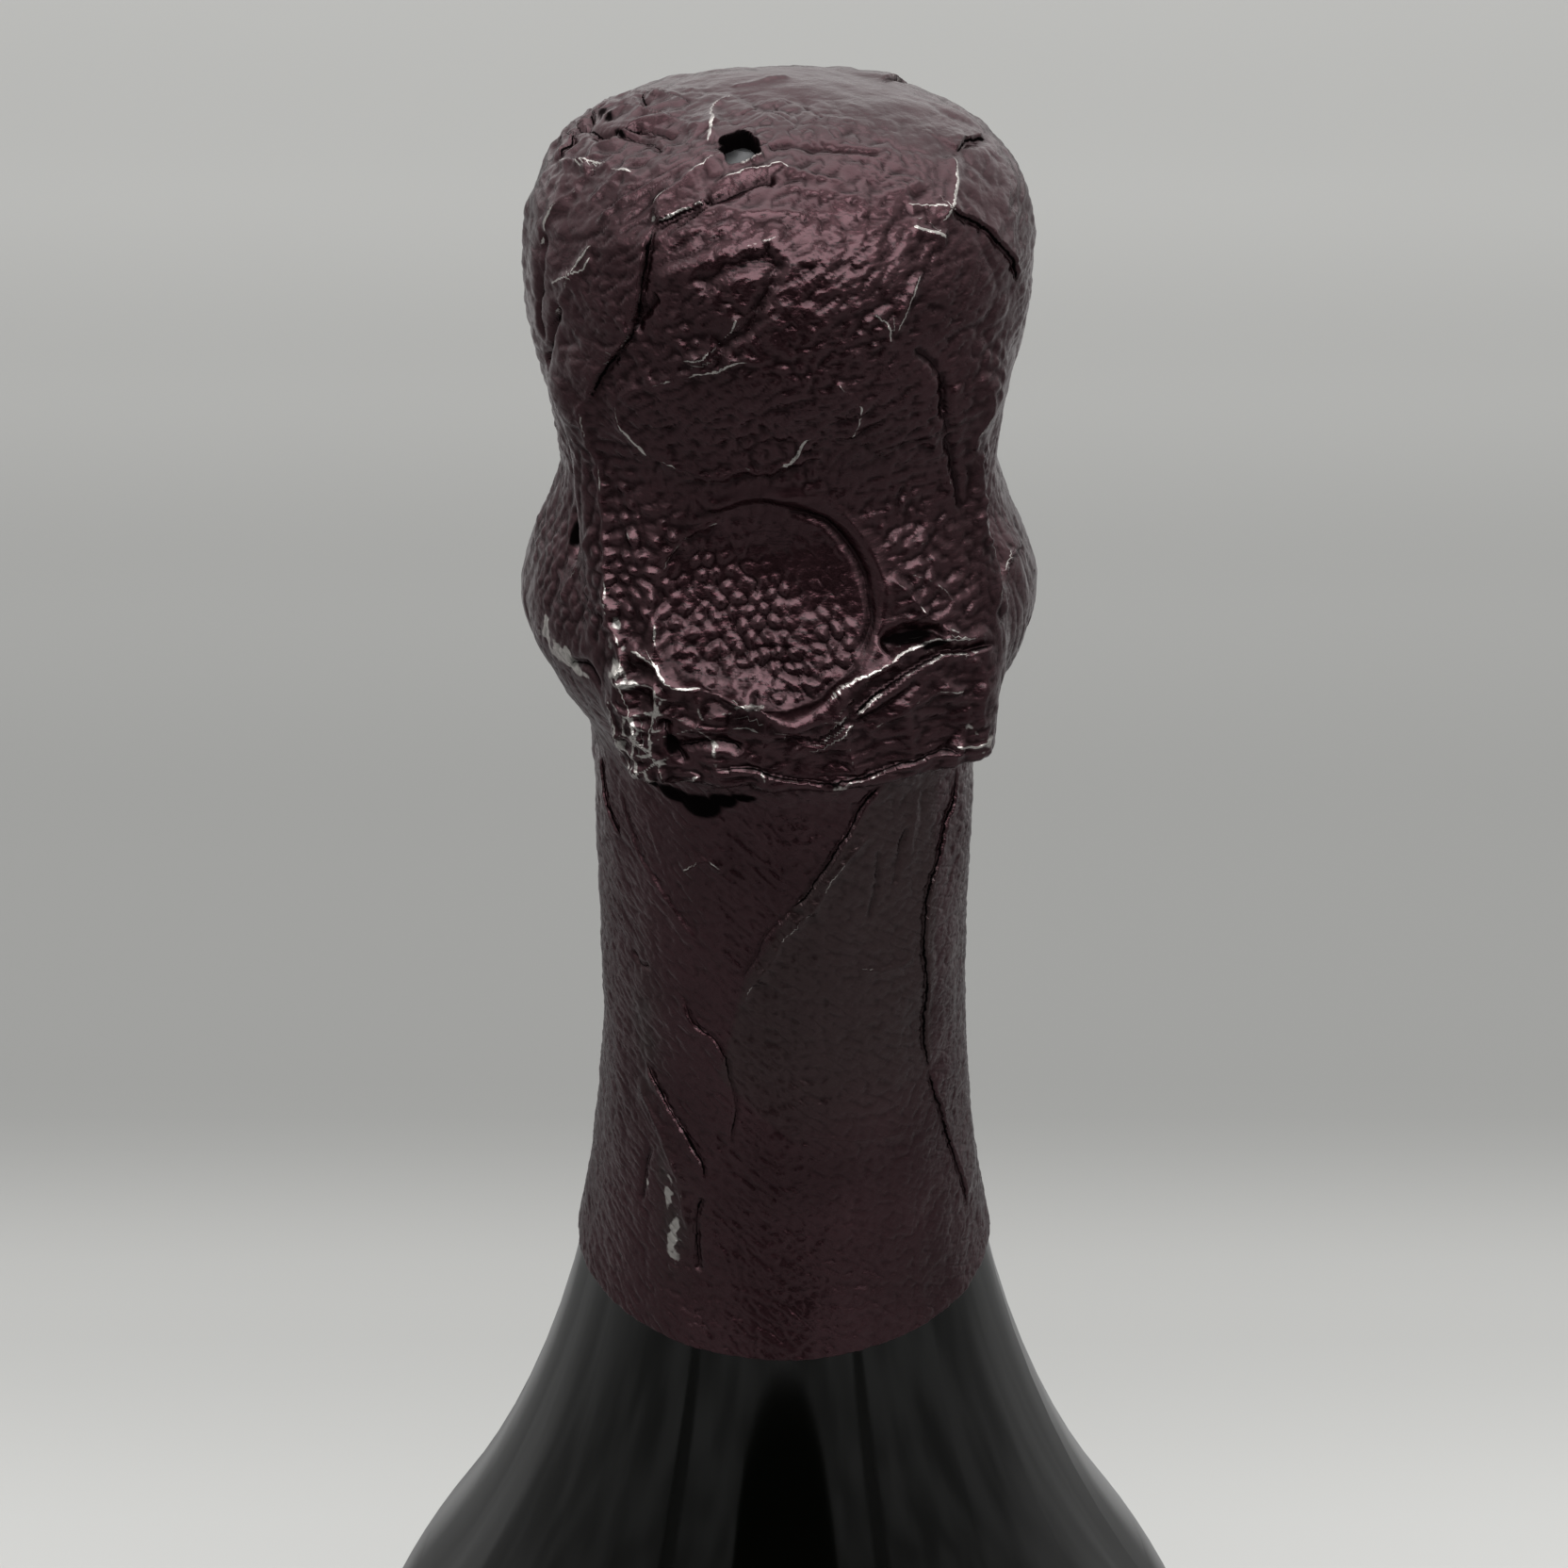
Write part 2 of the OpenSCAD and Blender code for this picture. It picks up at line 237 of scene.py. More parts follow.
# -------- the foil's folds and creases
# Each is a line over the foil: its places are (degrees from the front, run from the top's middle in mm).
# A lap steps up on its left-hand side, seen along the line. Height and width are in mm; worn and dark are
# how much bare metal shows along it and how strong the painted shade in its gap is: 1 is full, and more makes
# it wider.
LAP, RIDGE, GROOVE = "lap", "ridge", "groove"
CREASES = [
    # tears and folds round the middle of the top
    (RIDGE, 0.35, 0.35, 2.4, 0, [(-31, 9), (-36, 7.6), (-50, 5.6), (-78, 3.9), (-104, 3)]),
    (RIDGE, 0.25, 0.3, 0.8, 0, [(-128, 4.2), (-150, 3.6), (170, 4.4)]),
    (GROOVE, 0.3, 0.35, 0.1, 0.7, [(-6, 8.8), (8, 8.3), (21, 9.1), (30, 10), (40, 11.2)]),
    (RIDGE, 0.35, 0.4, 0.6, 0, [(-20, 13.2), (-17, 12.6), (-10, 11.6), (-1, 10.7), (8, 11.4), (15, 12.3),
        (22, 13)]),
    (GROOVE, 0.45, 0.45, 0, 1.6, [(-20, 14.6), (-17, 14), (-11, 13.1), (-5, 12.2), (0, 11.7)]),
    (RIDGE, 0.3, 0.5, 0.2, 0, [(-22, 15), (-16, 14.6), (-8, 15), (0, 14.7), (8, 15.2)]),
    (RIDGE, 0.25, 0.4, 0.3, 0, [(2, 12.6), (9, 13), (15, 13.5), (24, 14.8)]),
    (RIDGE, 0.3, 0.5, 0.2, 0, [(-30, 17.6), (-20, 16.5), (-12, 16.1), (-5, 15.6)]),
    # over the front of the head
    (LAP, 0.5, 2.5, 0.4, 2.2, [(-45, 29.8), (-38, 26.2), (-33, 24.2), (-31, 22.6), (-30, 19.4), (-30, 16.3)]),
    (LAP, 0.35, 2, 0.8, 1.8, [(-30, 16.5), (-24, 15.4), (-17, 14.2)]),
    (GROOVE, 0.4, 0.35, 0.1, 1, [(-32, 23.6), (-30, 22.6), (-26, 20.8)]),
    (RIDGE, 0.35, 0.4, 0.7, 0, [(-33, 15.8), (-27, 12.6), (-23, 10.4), (-20, 9.4)]),
    (LAP, 0.4, 1.5, 0.3, 0.9, [(-24, 9.7), (-30, 11.1), (-36, 13.3), (-42, 15.4), (-47, 17.5)]),
    (RIDGE, 0.4, 0.35, 2.4, 0, [(61, 12.9), (53, 14.6), (46, 16), (40, 17.3)]),
    (RIDGE, 0.3, 0.3, 1.6, 0, [(32, 16.8), (36, 17.4), (41, 18.1)]),
    (RIDGE, 0.25, 0.3, 0.25, 0, [(25, 14.5), (33, 14.2), (43, 13.9)]),
    (RIDGE, 0.2, 0.3, 0.7, 0, [(34, 15.4), (39, 15.6), (45, 16.2)]),
    (LAP, 0.4, 1.5, 0.2, 2, [(44, 16.1), (51, 17.9), (58, 19.9), (63, 21.6), (66, 23.4)]),
    (LAP, 0.35, 1, 0.3, 2, [(66, 12.9), (76, 13), (88, 14.4)]),
    (RIDGE, 0.45, 0.9, 0.35, 0, [(3, 16), (-4, 16.9), (-13, 18), (-21, 19), (-28, 20.4)]),
    (GROOVE, 0.3, 0.6, 0, 0.5, [(0, 17.3), (-6, 18.3), (-13, 19.1), (-18, 19.8)]),
    (GROOVE, 0.4, 0.6, 0.1, 0.7, [(1, 17.3), (-2, 19.9), (-5, 21.6), (-8, 22.7), (-15, 24.2)]),
    (RIDGE, 0.4, 0.4, 0.6, 0, [(-8, 21.4), (-11, 23.2), (-16, 24.6), (-22, 25.1)]),
    (RIDGE, 0.3, 0.3, 0.65, 0.2, [(0, 24.8), (-8, 24.9), (-16, 25.6), (-24, 26.5), (-32, 27.8), (-37, 28.9)]),
    (RIDGE, 0.25, 0.3, 0.9, 0, [(-37, 28.6), (-37, 30.7), (-35, 31.8), (-31, 33)]),
    (RIDGE, 0.3, 0.3, 0.95, 0.3, [(-31, 33), (-17, 34), (-8, 33.2), (-5, 33.6), (4, 32.4), (6, 30.9),
        (12, 30.4)]),
    (RIDGE, 0.35, 0.35, 0.8, 0.2, [(32, 19.6), (30, 20.6), (28, 21.7), (25, 23.2)]),
    (RIDGE, 0.3, 0.3, 0.9, 0, [(20, 21.8), (23, 22.8), (24, 24.1)]),
    (RIDGE, 0.25, 0.3, 1.2, 0, [(-58, 22.9), (-52, 21.6), (-47, 20.6), (-44, 19.4)]),
    (RIDGE, 0.2, 0.3, 0.5, 0, [(-50, 25), (-40, 25.4), (-33, 25.2)]),
    (GROOVE, 0.6, 0.45, 0.1, 2, [(-54, 23.5), (-58, 25.4), (-61, 27.5), (-68, 29.4)]),
    (RIDGE, 0.25, 0.3, 0.9, 0, [(-44, 18.4), (-50, 20.6), (-53, 23), (-60, 25.2)]),
    (RIDGE, 0.25, 0.3, 0.8, 0, [(-58, 15.6), (-64, 18), (-66, 21)]),
    (GROOVE, 0.35, 0.4, 0, 0.9, [(-66, 19), (-63, 22), (-66, 25.4), (-64, 27.4)]),
    (RIDGE, 0.25, 0.3, 0.8, 0, [(-54, 13.4), (-66, 14.2), (-78, 15.8)]),
    (GROOVE, 0.3, 0.4, 0, 0.8, [(30, 24.4), (37, 27), (39, 30.4)]),
    (RIDGE, 0.25, 0.3, 0.7, 0, [(12, 26), (18, 28.4), (16, 31)]),
    # the far left of the top, crumpled small
    (LAP, 0.4, 1.2, 0.3, 2.5, [(-62, 7.2), (-86, 9), (-100, 12.6), (-92, 15.6)]),
    (GROOVE, 0.35, 0.3, 0.3, 2.5, [(-64, 9.4), (-76, 11.8), (-100, 14.8)]),
    (LAP, 0.35, 1, 0.4, 2.5, [(-90, 5.8), (-108, 8.4), (-118, 12)]),
    (GROOVE, 0.35, 0.3, 0.4, 2.5, [(-92, 8.9), (-104, 9.6), (-116, 10.2)]),
    (GROOVE, 0.3, 0.3, 0.2, 2, [(-50, 8.8), (-62, 9.4), (-70, 10.6)]),
    (GROOVE, 0.35, 0.3, 0.2, 2.5, [(-44, 10.8), (-56, 10.4), (-68, 11.4), (-80, 12.6)]),
    (LAP, 0.35, 1, 0.5, 2.5, [(-70, 7.6), (-72, 10), (-66, 12)]),
    (GROOVE, 0.35, 0.3, 0.3, 2.5, [(-84, 13.6), (-94, 13), (-104, 13.4), (-112, 13)]),
    (LAP, 0.35, 1, 0.4, 2.5, [(-78, 15.4), (-88, 14.2), (-100, 16.2)]),
    (RIDGE, 0.3, 0.3, 0.9, 0, [(-44, 13.4), (-54, 13.6), (-62, 14.6), (-70, 14.4)]),
    # waist and panel edges
    (GROOVE, 0.5, 0.6, 0.1, 0.8, [(-56, 30), (-58, 34), (-60, 38), (-57, 44)]),
    (RIDGE, 0.45, 0.45, 0.45, 0, [(-45, 28.9), (-47, 32), (-45, 34.7), (-44, 38), (-41, 42.4), (-38, 45.3)]),
    (RIDGE, 0.3, 0.4, 0.3, 0.3, [(-50, 31.7), (-46, 30), (-42, 28.7)]),
    (RIDGE, 0.4, 0.45, 0.45, 0.2, [(48, 27.5), (51, 30.5), (49, 33), (53, 36), (52, 39.5), (54, 43),
        (49, 47)]),
    (GROOVE, 0.6, 0.7, 0, 0.8, [(58, 29), (64, 34), (63, 40), (58, 46)]),
    (GROOVE, 0.35, 0.4, 0.1, 0.8, [(38, 26.6), (40, 31), (45, 35), (47, 38.6)]),
    (RIDGE, 0.35, 0.5, 0.3, 0, [(32, 29), (37, 32), (43, 35.4), (46, 38.4)]),
    # folds round the round hollow
    (RIDGE, 0.3, 0.35, 0.5, 0, [(-12, 37.4), (-20, 38), (-27, 40), (-30, 43), (-28, 46), (-26, 47.8)]),
    (RIDGE, 0.35, 0.8, 0.3, 0, [(-4, 35.6), (5, 35.4), (14, 36.4), (21, 38.4), (25, 41), (26, 44.4)]),
    (GROOVE, 0.3, 0.35, 0, 0.7, [(2, 36.6), (11, 37.4), (18, 39.4), (21.5, 42), (21, 45.4), (17, 47.6)]),
    (RIDGE, 0.4, 0.4, 0.5, 0.2, [(26, 41.3), (31, 43.4), (36, 45.4), (42, 46.7)]),
    (GROOVE, 0.7, 0.7, 0, 1, [(23, 46.9), (27, 46.2), (32, 45.8), (37, 46.4)]),
    (RIDGE, 0.3, 0.5, 0.4, 0, [(27, 39), (33, 39.8), (38, 39.2)]),
    (RIDGE, 0.3, 0.4, 0.4, 0.2, [(30, 41.4), (36, 42.6), (41, 44.6)]),
    (RIDGE, 0.3, 0.4, 0.4, 0, [(-38, 38.5), (-34, 40.4), (-36, 42.8)]),
    # the rim below it
    (RIDGE, 0.55, 0.4, 1.5, 0, [(-40, 43.6), (-38, 45.6), (-35, 47.2), (-33, 49.4)]),
    (RIDGE, 0.6, 0.35, 1, 0, [(-35, 47.2), (-30, 47.5), (-26, 48.1), (-24, 49), (-12, 50), (-7, 50.8),
        (0, 51.4)]),
    (RIDGE, 0.7, 0.3, 1.5, 0, [(-14, 50.2), (-7, 50.9), (0, 51.5), (5, 51.3), (10, 50.4), (15, 49.3)]),
    (RIDGE, 0.7, 0.35, 0.9, 0, [(10, 50.3), (15, 49.1), (19, 48.4), (26, 47.4), (33, 46.6), (41, 46.9),
        (49, 47.5)]),
    (LAP, 0.5, 1, 0.8, 1.8, [(49, 48.3), (41, 48), (34, 47.8), (25, 48.9), (19, 50), (14, 51.3)]),
    # the ledge's face
    (LAP, 0.45, 1.2, 0.8, 0.9, [(-2, 52.6), (3, 52.2), (8, 52.8), (11, 51.9), (15, 50.8)]),
    (RIDGE, 0.4, 0.3, 0.8, 0.2, [(2, 53.4), (8, 53.9), (12, 53), (16, 51.5)]),
    (RIDGE, 0.35, 0.35, 0.7, 0.3, [(-25, 51.2), (-15, 52.3), (-6, 51.9), (1, 52.6)]),
    (RIDGE, 0.35, 0.35, 0.6, 0.4, [(-26, 49), (-26, 51), (-27, 53.8)]),
    (RIDGE, 0.3, 0.4, 0.6, 0.2, [(17, 53.4), (24, 51.6), (33, 50.4), (41, 50.8)]),
    (GROOVE, 0.3, 0.3, 0.1, 0.9, [(16, 51.8), (22, 50.6), (30, 49.4)]),
    (RIDGE, 0.45, 0.6, 0.2, 0, [(42, 48.2), (44, 51), (43, 54.4)]),
    (RIDGE, 0.4, 0.4, 1.1, 0, [(36, 55), (41, 55.6), (45, 55.2)]),
    (LAP, 0.4, 0.9, 0.4, 1.5, [(43, 56.2), (32, 55.3), (22, 56.2), (12, 56.8), (2, 56.3), (-8, 55.2),
        (-18, 55.9)]),
    (RIDGE, 0.5, 0.35, 1.3, 0, [(-36, 47.8), (-33, 50.2), (-30, 53), (-31, 56.6), (-29, 59.2)]),
    (RIDGE, 0.4, 0.3, 1, 0, [(-37, 51), (-35, 54), (-32, 57), (-28, 58.6)]),
    (RIDGE, 0.4, 0.3, 0.9, 0.3, [(-31, 52.4), (-27, 54.6), (-25, 57), (-27, 59)]),
    (RIDGE, 0.35, 0.3, 0.8, 0.3, [(-27, 57), (-22, 57.4), (-17, 56.4)]),
    (GROOVE, 0.5, 0.4, 0.2, 2, [(-24, 51.6), (-23, 53.4), (-20, 55.6)]),
    (GROOVE, 0.5, 0.4, 0.1, 2, [(-22, 54), (-15, 53.2), (-8, 53.8)]),
    # collar bulges at the sides
    (GROOVE, 0.7, 0.6, 0, 1, [(-64, 40.2), (-61, 41.8), (-58, 43.4)]),
    (LAP, 0.45, 1.5, 0.3, 2, [(51, 47.2), (58, 46.6), (64, 45.4), (72, 44.8), (82, 45.6)]),
    (RIDGE, 0.25, 0.4, 0.6, 0, [(52, 46.2), (62, 45.2), (70, 44.2)]),
    (RIDGE, 0.25, 0.4, 0.3, 0, [(-82, 36.5), (-88, 41), (-86, 46)]),
    (RIDGE, 0.3, 0.4, 0.5, 0.3, [(-45, 39.2), (-50, 41), (-55, 43.3), (-58, 46.7)]),
    (GROOVE, 0.4, 0.4, 0.1, 1.8, [(-52, 50.6), (-46, 50), (-40, 50.8)]),
    # laps down the neck
    (LAP, 0.35, 3, 0, 2, [(29, 60.5), (24, 61.8), (17, 65), (8, 68.4), (1, 70.6)]),
    (LAP, 0.22, 3, 0, 0.55, [(2, 70.4), (-6, 73.4), (-12, 77)]),
    (RIDGE, 0.35, 0.3, 0.5, 0, [(28, 64.2), (16, 67.1), (5, 71.2), (-6, 75.8), (-15, 79.8)]),
    (LAP, 0.3, 3, 0, 2.5, [(64, 62.5), (61, 65.4), (54, 68.5), (49, 72), (47, 75), (48, 80), (49, 84.5),
        (52, 89.5)]),
    (LAP, 0.3, 2, 0, 1.5, [(51, 88.5), (58, 95), (64, 100), (69, 105)]),
    (GROOVE, 0.2, 0.3, 0, 0.4, [(39, 65.2), (35, 68.2), (34, 70.2)]),
    (GROOVE, 0.18, 0.3, 0, 0.4, [(29, 66.3), (26, 72.4)]),
    (RIDGE, 0.2, 0.3, 0.3, 0, [(44, 62.6), (41, 66), (40, 69)]),
    (LAP, 0.25, 3, 0.1, 2, [(-58, 68.4), (-66, 66), (-70, 63)]),
    (LAP, 0.15, 2, 0, 0.6, [(-26, 74.2), (-40, 70.6), (-51, 67.7), (-57, 63.9)]),
    (RIDGE, 0.1, 0.3, 0.1, 0, [(-30, 72.4), (-38, 68.8), (-45, 64)]),
    (GROOVE, 0.3, 0.3, 0, 1.6, [(-54, 78), (-49, 78.7), (-44, 78.3)]),
    (LAP, 0.28, 1.2, 0, 2.5, [(-24, 96.4), (-27, 94), (-33, 91.7), (-40, 89.7), (-48, 87.6)]),
    (RIDGE, 0.45, 0.6, 0.3, 0, [(-52, 89.5), (-44, 91.5), (-36, 94.5), (-30, 98.5), (-27, 103)]),
    (GROOVE, 0.3, 0.3, 0, 2.5, [(-25, 97.4), (-26, 100.5), (-25, 104.6)]),
    (GROOVE, 0.3, 0.35, 0.3, 0.8, [(-43, 94.4), (-46, 98), (-47, 100.8)]),
    (LAP, 0.25, 1.5, 0.1, 1.2, [(-16, 92.2), (-15, 87.6), (-17, 84.8), (-21, 82.9), (-28, 81.6),
        (-33, 79.6)]),
    (RIDGE, 0.25, 0.3, 0.5, 0.5, [(-31, 68.4), (-23, 66.8), (-17, 67.5)]),
    (RIDGE, 0.2, 0.3, 0.4, 0.3, [(22, 76.5), (32, 77.1), (44, 77.3)]),
    (RIDGE, 0.15, 0.3, 0.25, 0.3, [(6, 91), (16, 91.7), (30, 92.4), (39, 92.9)]),
    # round the back, as at the front
    (LAP, 0.5, 2.5, 0.4, 1, [(130, 9), (142, 15), (138, 21), (150, 28), (146, 34)]),
    (LAP, 0.4, 2.5, 0.4, 0.9, [(-150, 11), (-138, 17), (-146, 24), (-132, 31)]),
    (RIDGE, 0.4, 0.5, 0.7, 0, [(160, 14), (172, 19), (-176, 27)]),
    (RIDGE, 0.35, 0.4, 0.5, 0.2, [(100, 22), (112, 26), (126, 27.5), (140, 31)]),
    (GROOVE, 0.4, 0.4, 0, 0.9, [(-110, 20), (-118, 25), (-112, 30)]),
    (LAP, 0.5, 3, 0.1, 1, [(128, 62), (134, 70), (128, 80), (136, 92), (142, 106)]),
    (LAP, 0.4, 3, 0.1, 0.9, [(-130, 106), (-138, 94), (-128, 82), (-140, 70), (-134, 62)]),
    (RIDGE, 0.25, 0.3, 0.3, 0.2, [(160, 66), (172, 74), (-178, 84), (-168, 92)]),
    (RIDGE, 0.5, 0.5, 0.9, 0, [(112, 44), (140, 47), (165, 45.5), (-170, 47.5), (-150, 46), (-112, 44)]),
    (GROOVE, 0.4, 0.5, 0, 0.9, [(105, 51), (130, 54), (160, 52.5), (-165, 54), (-140, 52), (-115, 54)]),
    (RIDGE, 0.3, 0.4, 0.5, 0.3, [(150, 38), (162, 41), (178, 40)]),
]
END_FADE = 0.12      # share of a crease's length over which each end fades in
EDGE = 0.14          # half width of a lap's edge, mm
# The shadow beside a crease is painted shade in the foil's colour.
FAR = 1.2            # distance from a crease, mm, beyond which its shadow and bare metal don't show


def smooth_line(places, step=0.4):
    """Points on the plain foil, step mm apart, along a smooth line through the places."""
    p = np.array(places, float)
    around = np.unwrap(np.radians(p[:, 0])) * HEAD_R
    p = np.stack([around, p[:, 1]], axis=-1)
    ends = np.vstack([2 * p[0] - p[1], p, 2 * p[-1] - p[-2]])
    line = []
    for a, b, c, d in zip(ends, ends[1:], ends[2:], ends[3:]):
        n = max(2, int(np.linalg.norm(c - b) / step))
        t = np.linspace(0, 1, n, endpoint=False)[:, None]
        line.append(b + 0.5 * t * (c - a + t * (2 * a - 5 * b + 4 * c - d + t * (3 * (b - c) + d - a))))
    line = np.vstack(line + [p[-1:]])
    return foil_point(np.degrees(line[:, 0] / HEAD_R), line[:, 1])


def beside_line(points, normals, line, reach):
    """Indices of the points within reach of a line, their distance left of it, and their share along it."""
    inside = np.all((points > line.min(0) - reach) & (points < line.max(0) + reach), axis=-1)
    near = np.nonzero(inside)[0]
    p = points[near]
    start, step = line[:-1], np.diff(line, axis=0)
    best = np.full(len(p), 1e9)
    left = np.zeros(len(p))
    along = np.zeros(len(p))
    length = (step ** 2).sum(-1) + 1e-12
    for k in range(len(start)):
        rel = p - start[k]
        t = np.clip(rel @ step[k] / length[k], 0, 1)
        off = rel - t[:, None] * step[k]
        d = np.sqrt((off ** 2).sum(-1))
        side = (np.cross(normals[near], step[k]) * off).sum(-1)
        closer = d < best
        best = np.where(closer, d, best)
        left = np.where(closer, np.where(side > 0, d, -d), left)
        along = np.where(closer, (k + t) / len(start), along)
    kept = best < reach
    return near[kept], left[kept], along[kept]


def add_creases(points, normals):
    """Height that the creases give each point, and what its material needs of the nearest one.

    Those are its distance to the left (offset), and how much painted shadow, bare metal and step it has there.
    """
    near_by = {key: np.zeros(len(points)) for key in ("offset", "gap_shade", "bare", "step")}
    near_by["offset"][:] = FAR
    height = np.zeros(len(points))
    wander = np.stack([noise(points, 2.2, 11 + k) for k in range(3)], axis=-1) * 0.22
    wander += np.stack([noise(points, 0.8, 21 + k) for k in range(3)], axis=-1) * 0.05
    broken = np.clip(0.7 + 0.9 * noise(points, 1.6, 31), 0, 1)
    narrow = np.clip(0.85 + 0.5 * noise(points, 3, 32), 0, 1)
    for kind, high, width, wear, shadow, places in CREASES:
        reach = max(3 * width if kind == LAP else 4 * width, FAR)
        near, left, along = beside_line(points + wander, normals, smooth_line(places), reach)
        fade = ease(0, END_FADE, along) * ease(0, END_FADE, 1 - along)
        limit = fall(0.6 * reach, reach, np.abs(left))
        if kind == LAP:
            shape = ease(-EDGE, EDGE, left) * np.exp(-np.abs(left) / width)
            shape = shape - 0.15 * np.exp(-((left + 0.2) / 0.2) ** 2)
        elif kind == RIDGE:
            shape = np.exp(-np.sqrt(left ** 2 + 0.003) / width)
        else:
            shape = -np.exp(-(left / width) ** 2)
        height[near] += high * shape * fade * limit
        closer = np.abs(left) < np.abs(near_by["offset"][near])
        at, left, fade = near[closer], left[closer], fade[closer]
        reached = fade * np.clip(1.3 - np.abs(left) / FAR * 1.3, 0, 1)
        near_by["offset"][at] = left
        near_by["gap_shade"][at] = shadow * reached * narrow[at]
        near_by["bare"][at] = wear * reached * broken[at]
        near_by["step"][at] = reached * high if kind == LAP else 0
    return height, near_by


# -------- the foil's wrinkles and dimples
DIMPLE = 1.25        # spacing of the foil's embossed dimples, mm
DIMPLE_ROWS = 20, 80, 140    # directions that the dimples' rows lie across, degrees

# Ranges over the foil: angles from the front, in degrees, and runs from the top's middle, in mm
PANEL = (-44, 46), (31, 48)
DIMPLED = (-50, 60), (21, 48)
LEDGE = (-38, 46), (49, 59)
LEDGE_FACE = (-34, 46), (50, 57)
LOW_LEFT = (-37, -23), (49, 59)
TOP_LEFT = (-125, -42), (6, 17)
SMOOTH_RIGHT = (70, 200), (1, 11)
SMOOTH_LEFT = (-200, -120), (1, 9)
FLANK = 36, 56               # angles over which the front gives way to the sides
HEAD_FOOT = 30, 36           # runs over which the head gives way to the collar
COLLAR_FOOT = 56, 62         # runs over which the collar gives way to the neck

# How much points are stretched before noise, which makes its lumps lie flat or stand tall
FLAT, TALL = (1, 1, 2.6), (1, 1, 0.3)
HEAD_SLANT = -0.35, (0.6, 0.6, 1.7)
NECK_SLANT = 0.6, (1, 1, 1.8)

# Nets of creases that both the wrinkles and the bare metal follow: size in mm and seed
FACETS = 2.1, 78
BIG_FOLDS = 5, 70


def dimples(angle, run, points):
    """Uneven rows of small round bumps, 0 between them and 1 on top."""
    u = np.radians(angle) * HEAD_R + 0.4 * noise(points, 2.2, 41)
    v = run + 0.4 * noise(points, 2.2, 42)
    k = 2 * math.pi / (DIMPLE * math.sqrt(3) / 2)
    waves = [np.cos(k * (u * math.cos(t) + v * math.sin(t))) for t in np.radians(DIMPLE_ROWS)]
    bump = np.clip(sum(waves) / 3, -0.25, 1) + 0.25
    return bump * (0.75 + 0.5 * noise(points, 1.4, 43))


def lumps(points, size, seed):
    """Winding rounded lumps from 0 to 1, with sharp valleys between them."""
    return 1 - (1 - np.clip(1.8 * np.abs(noise(points, size, seed)), 0, 1)) ** 2


def slanted(points, slope, stretch):
    """Points stretched and skewed, so that lumps over them lie slantwise."""
    return (points + np.outer(points[:, 0], [0, 0, slope])) * stretch


def region(angle, run, angles, runs, soft, soft_run):
    """1 inside a range of angles and runs, fading to 0 over soft degrees and soft_run mm each way."""
    share = 1
    for x, (low, high), s in ((angle, angles, soft), (run, runs, soft_run)):
        share = share * ease(low - s, low + s, x) * fall(high - s, high + s, x)
    return share


def head_wrinkles(angle, run, p):
    """Winding lumps with sharp valleys between them, crossed by straighter folds."""
    smooth = region(angle, run, *SMOOTH_RIGHT, 25, 2) + region(angle, run, *SMOOTH_LEFT, 20, 2)
    crumpled = fall(*HEAD_FOOT, run) * (1 - 0.75 * np.clip(smooth, 0, 1))
    flanks = ease(*FLANK, np.abs(angle))
    slant, flat = slanted(p, *HEAD_SLANT), p * FLAT
    h = crumpled * (1 - 0.7 * flanks) * (0.1 * lumps(slant, 1.1, 53) + 0.09 * lumps(slant, 0.6, 54) - 0.1)
    h += crumpled * (0.08 * crests(slant, 4.0, 55) - 0.12 * crests(p, 3.2, 56))
    h += crumpled * flanks * (0.16 * layered(p * TALL, 3.0, 79) - 0.1 * crests(slant, 2.4, 80))
    h += region(angle, run, *TOP_LEFT, 8, 2) * (0.24 * crests(flat, 2.6, 57) - 0.08 * crests(flat, 1.8, 58))
    return h


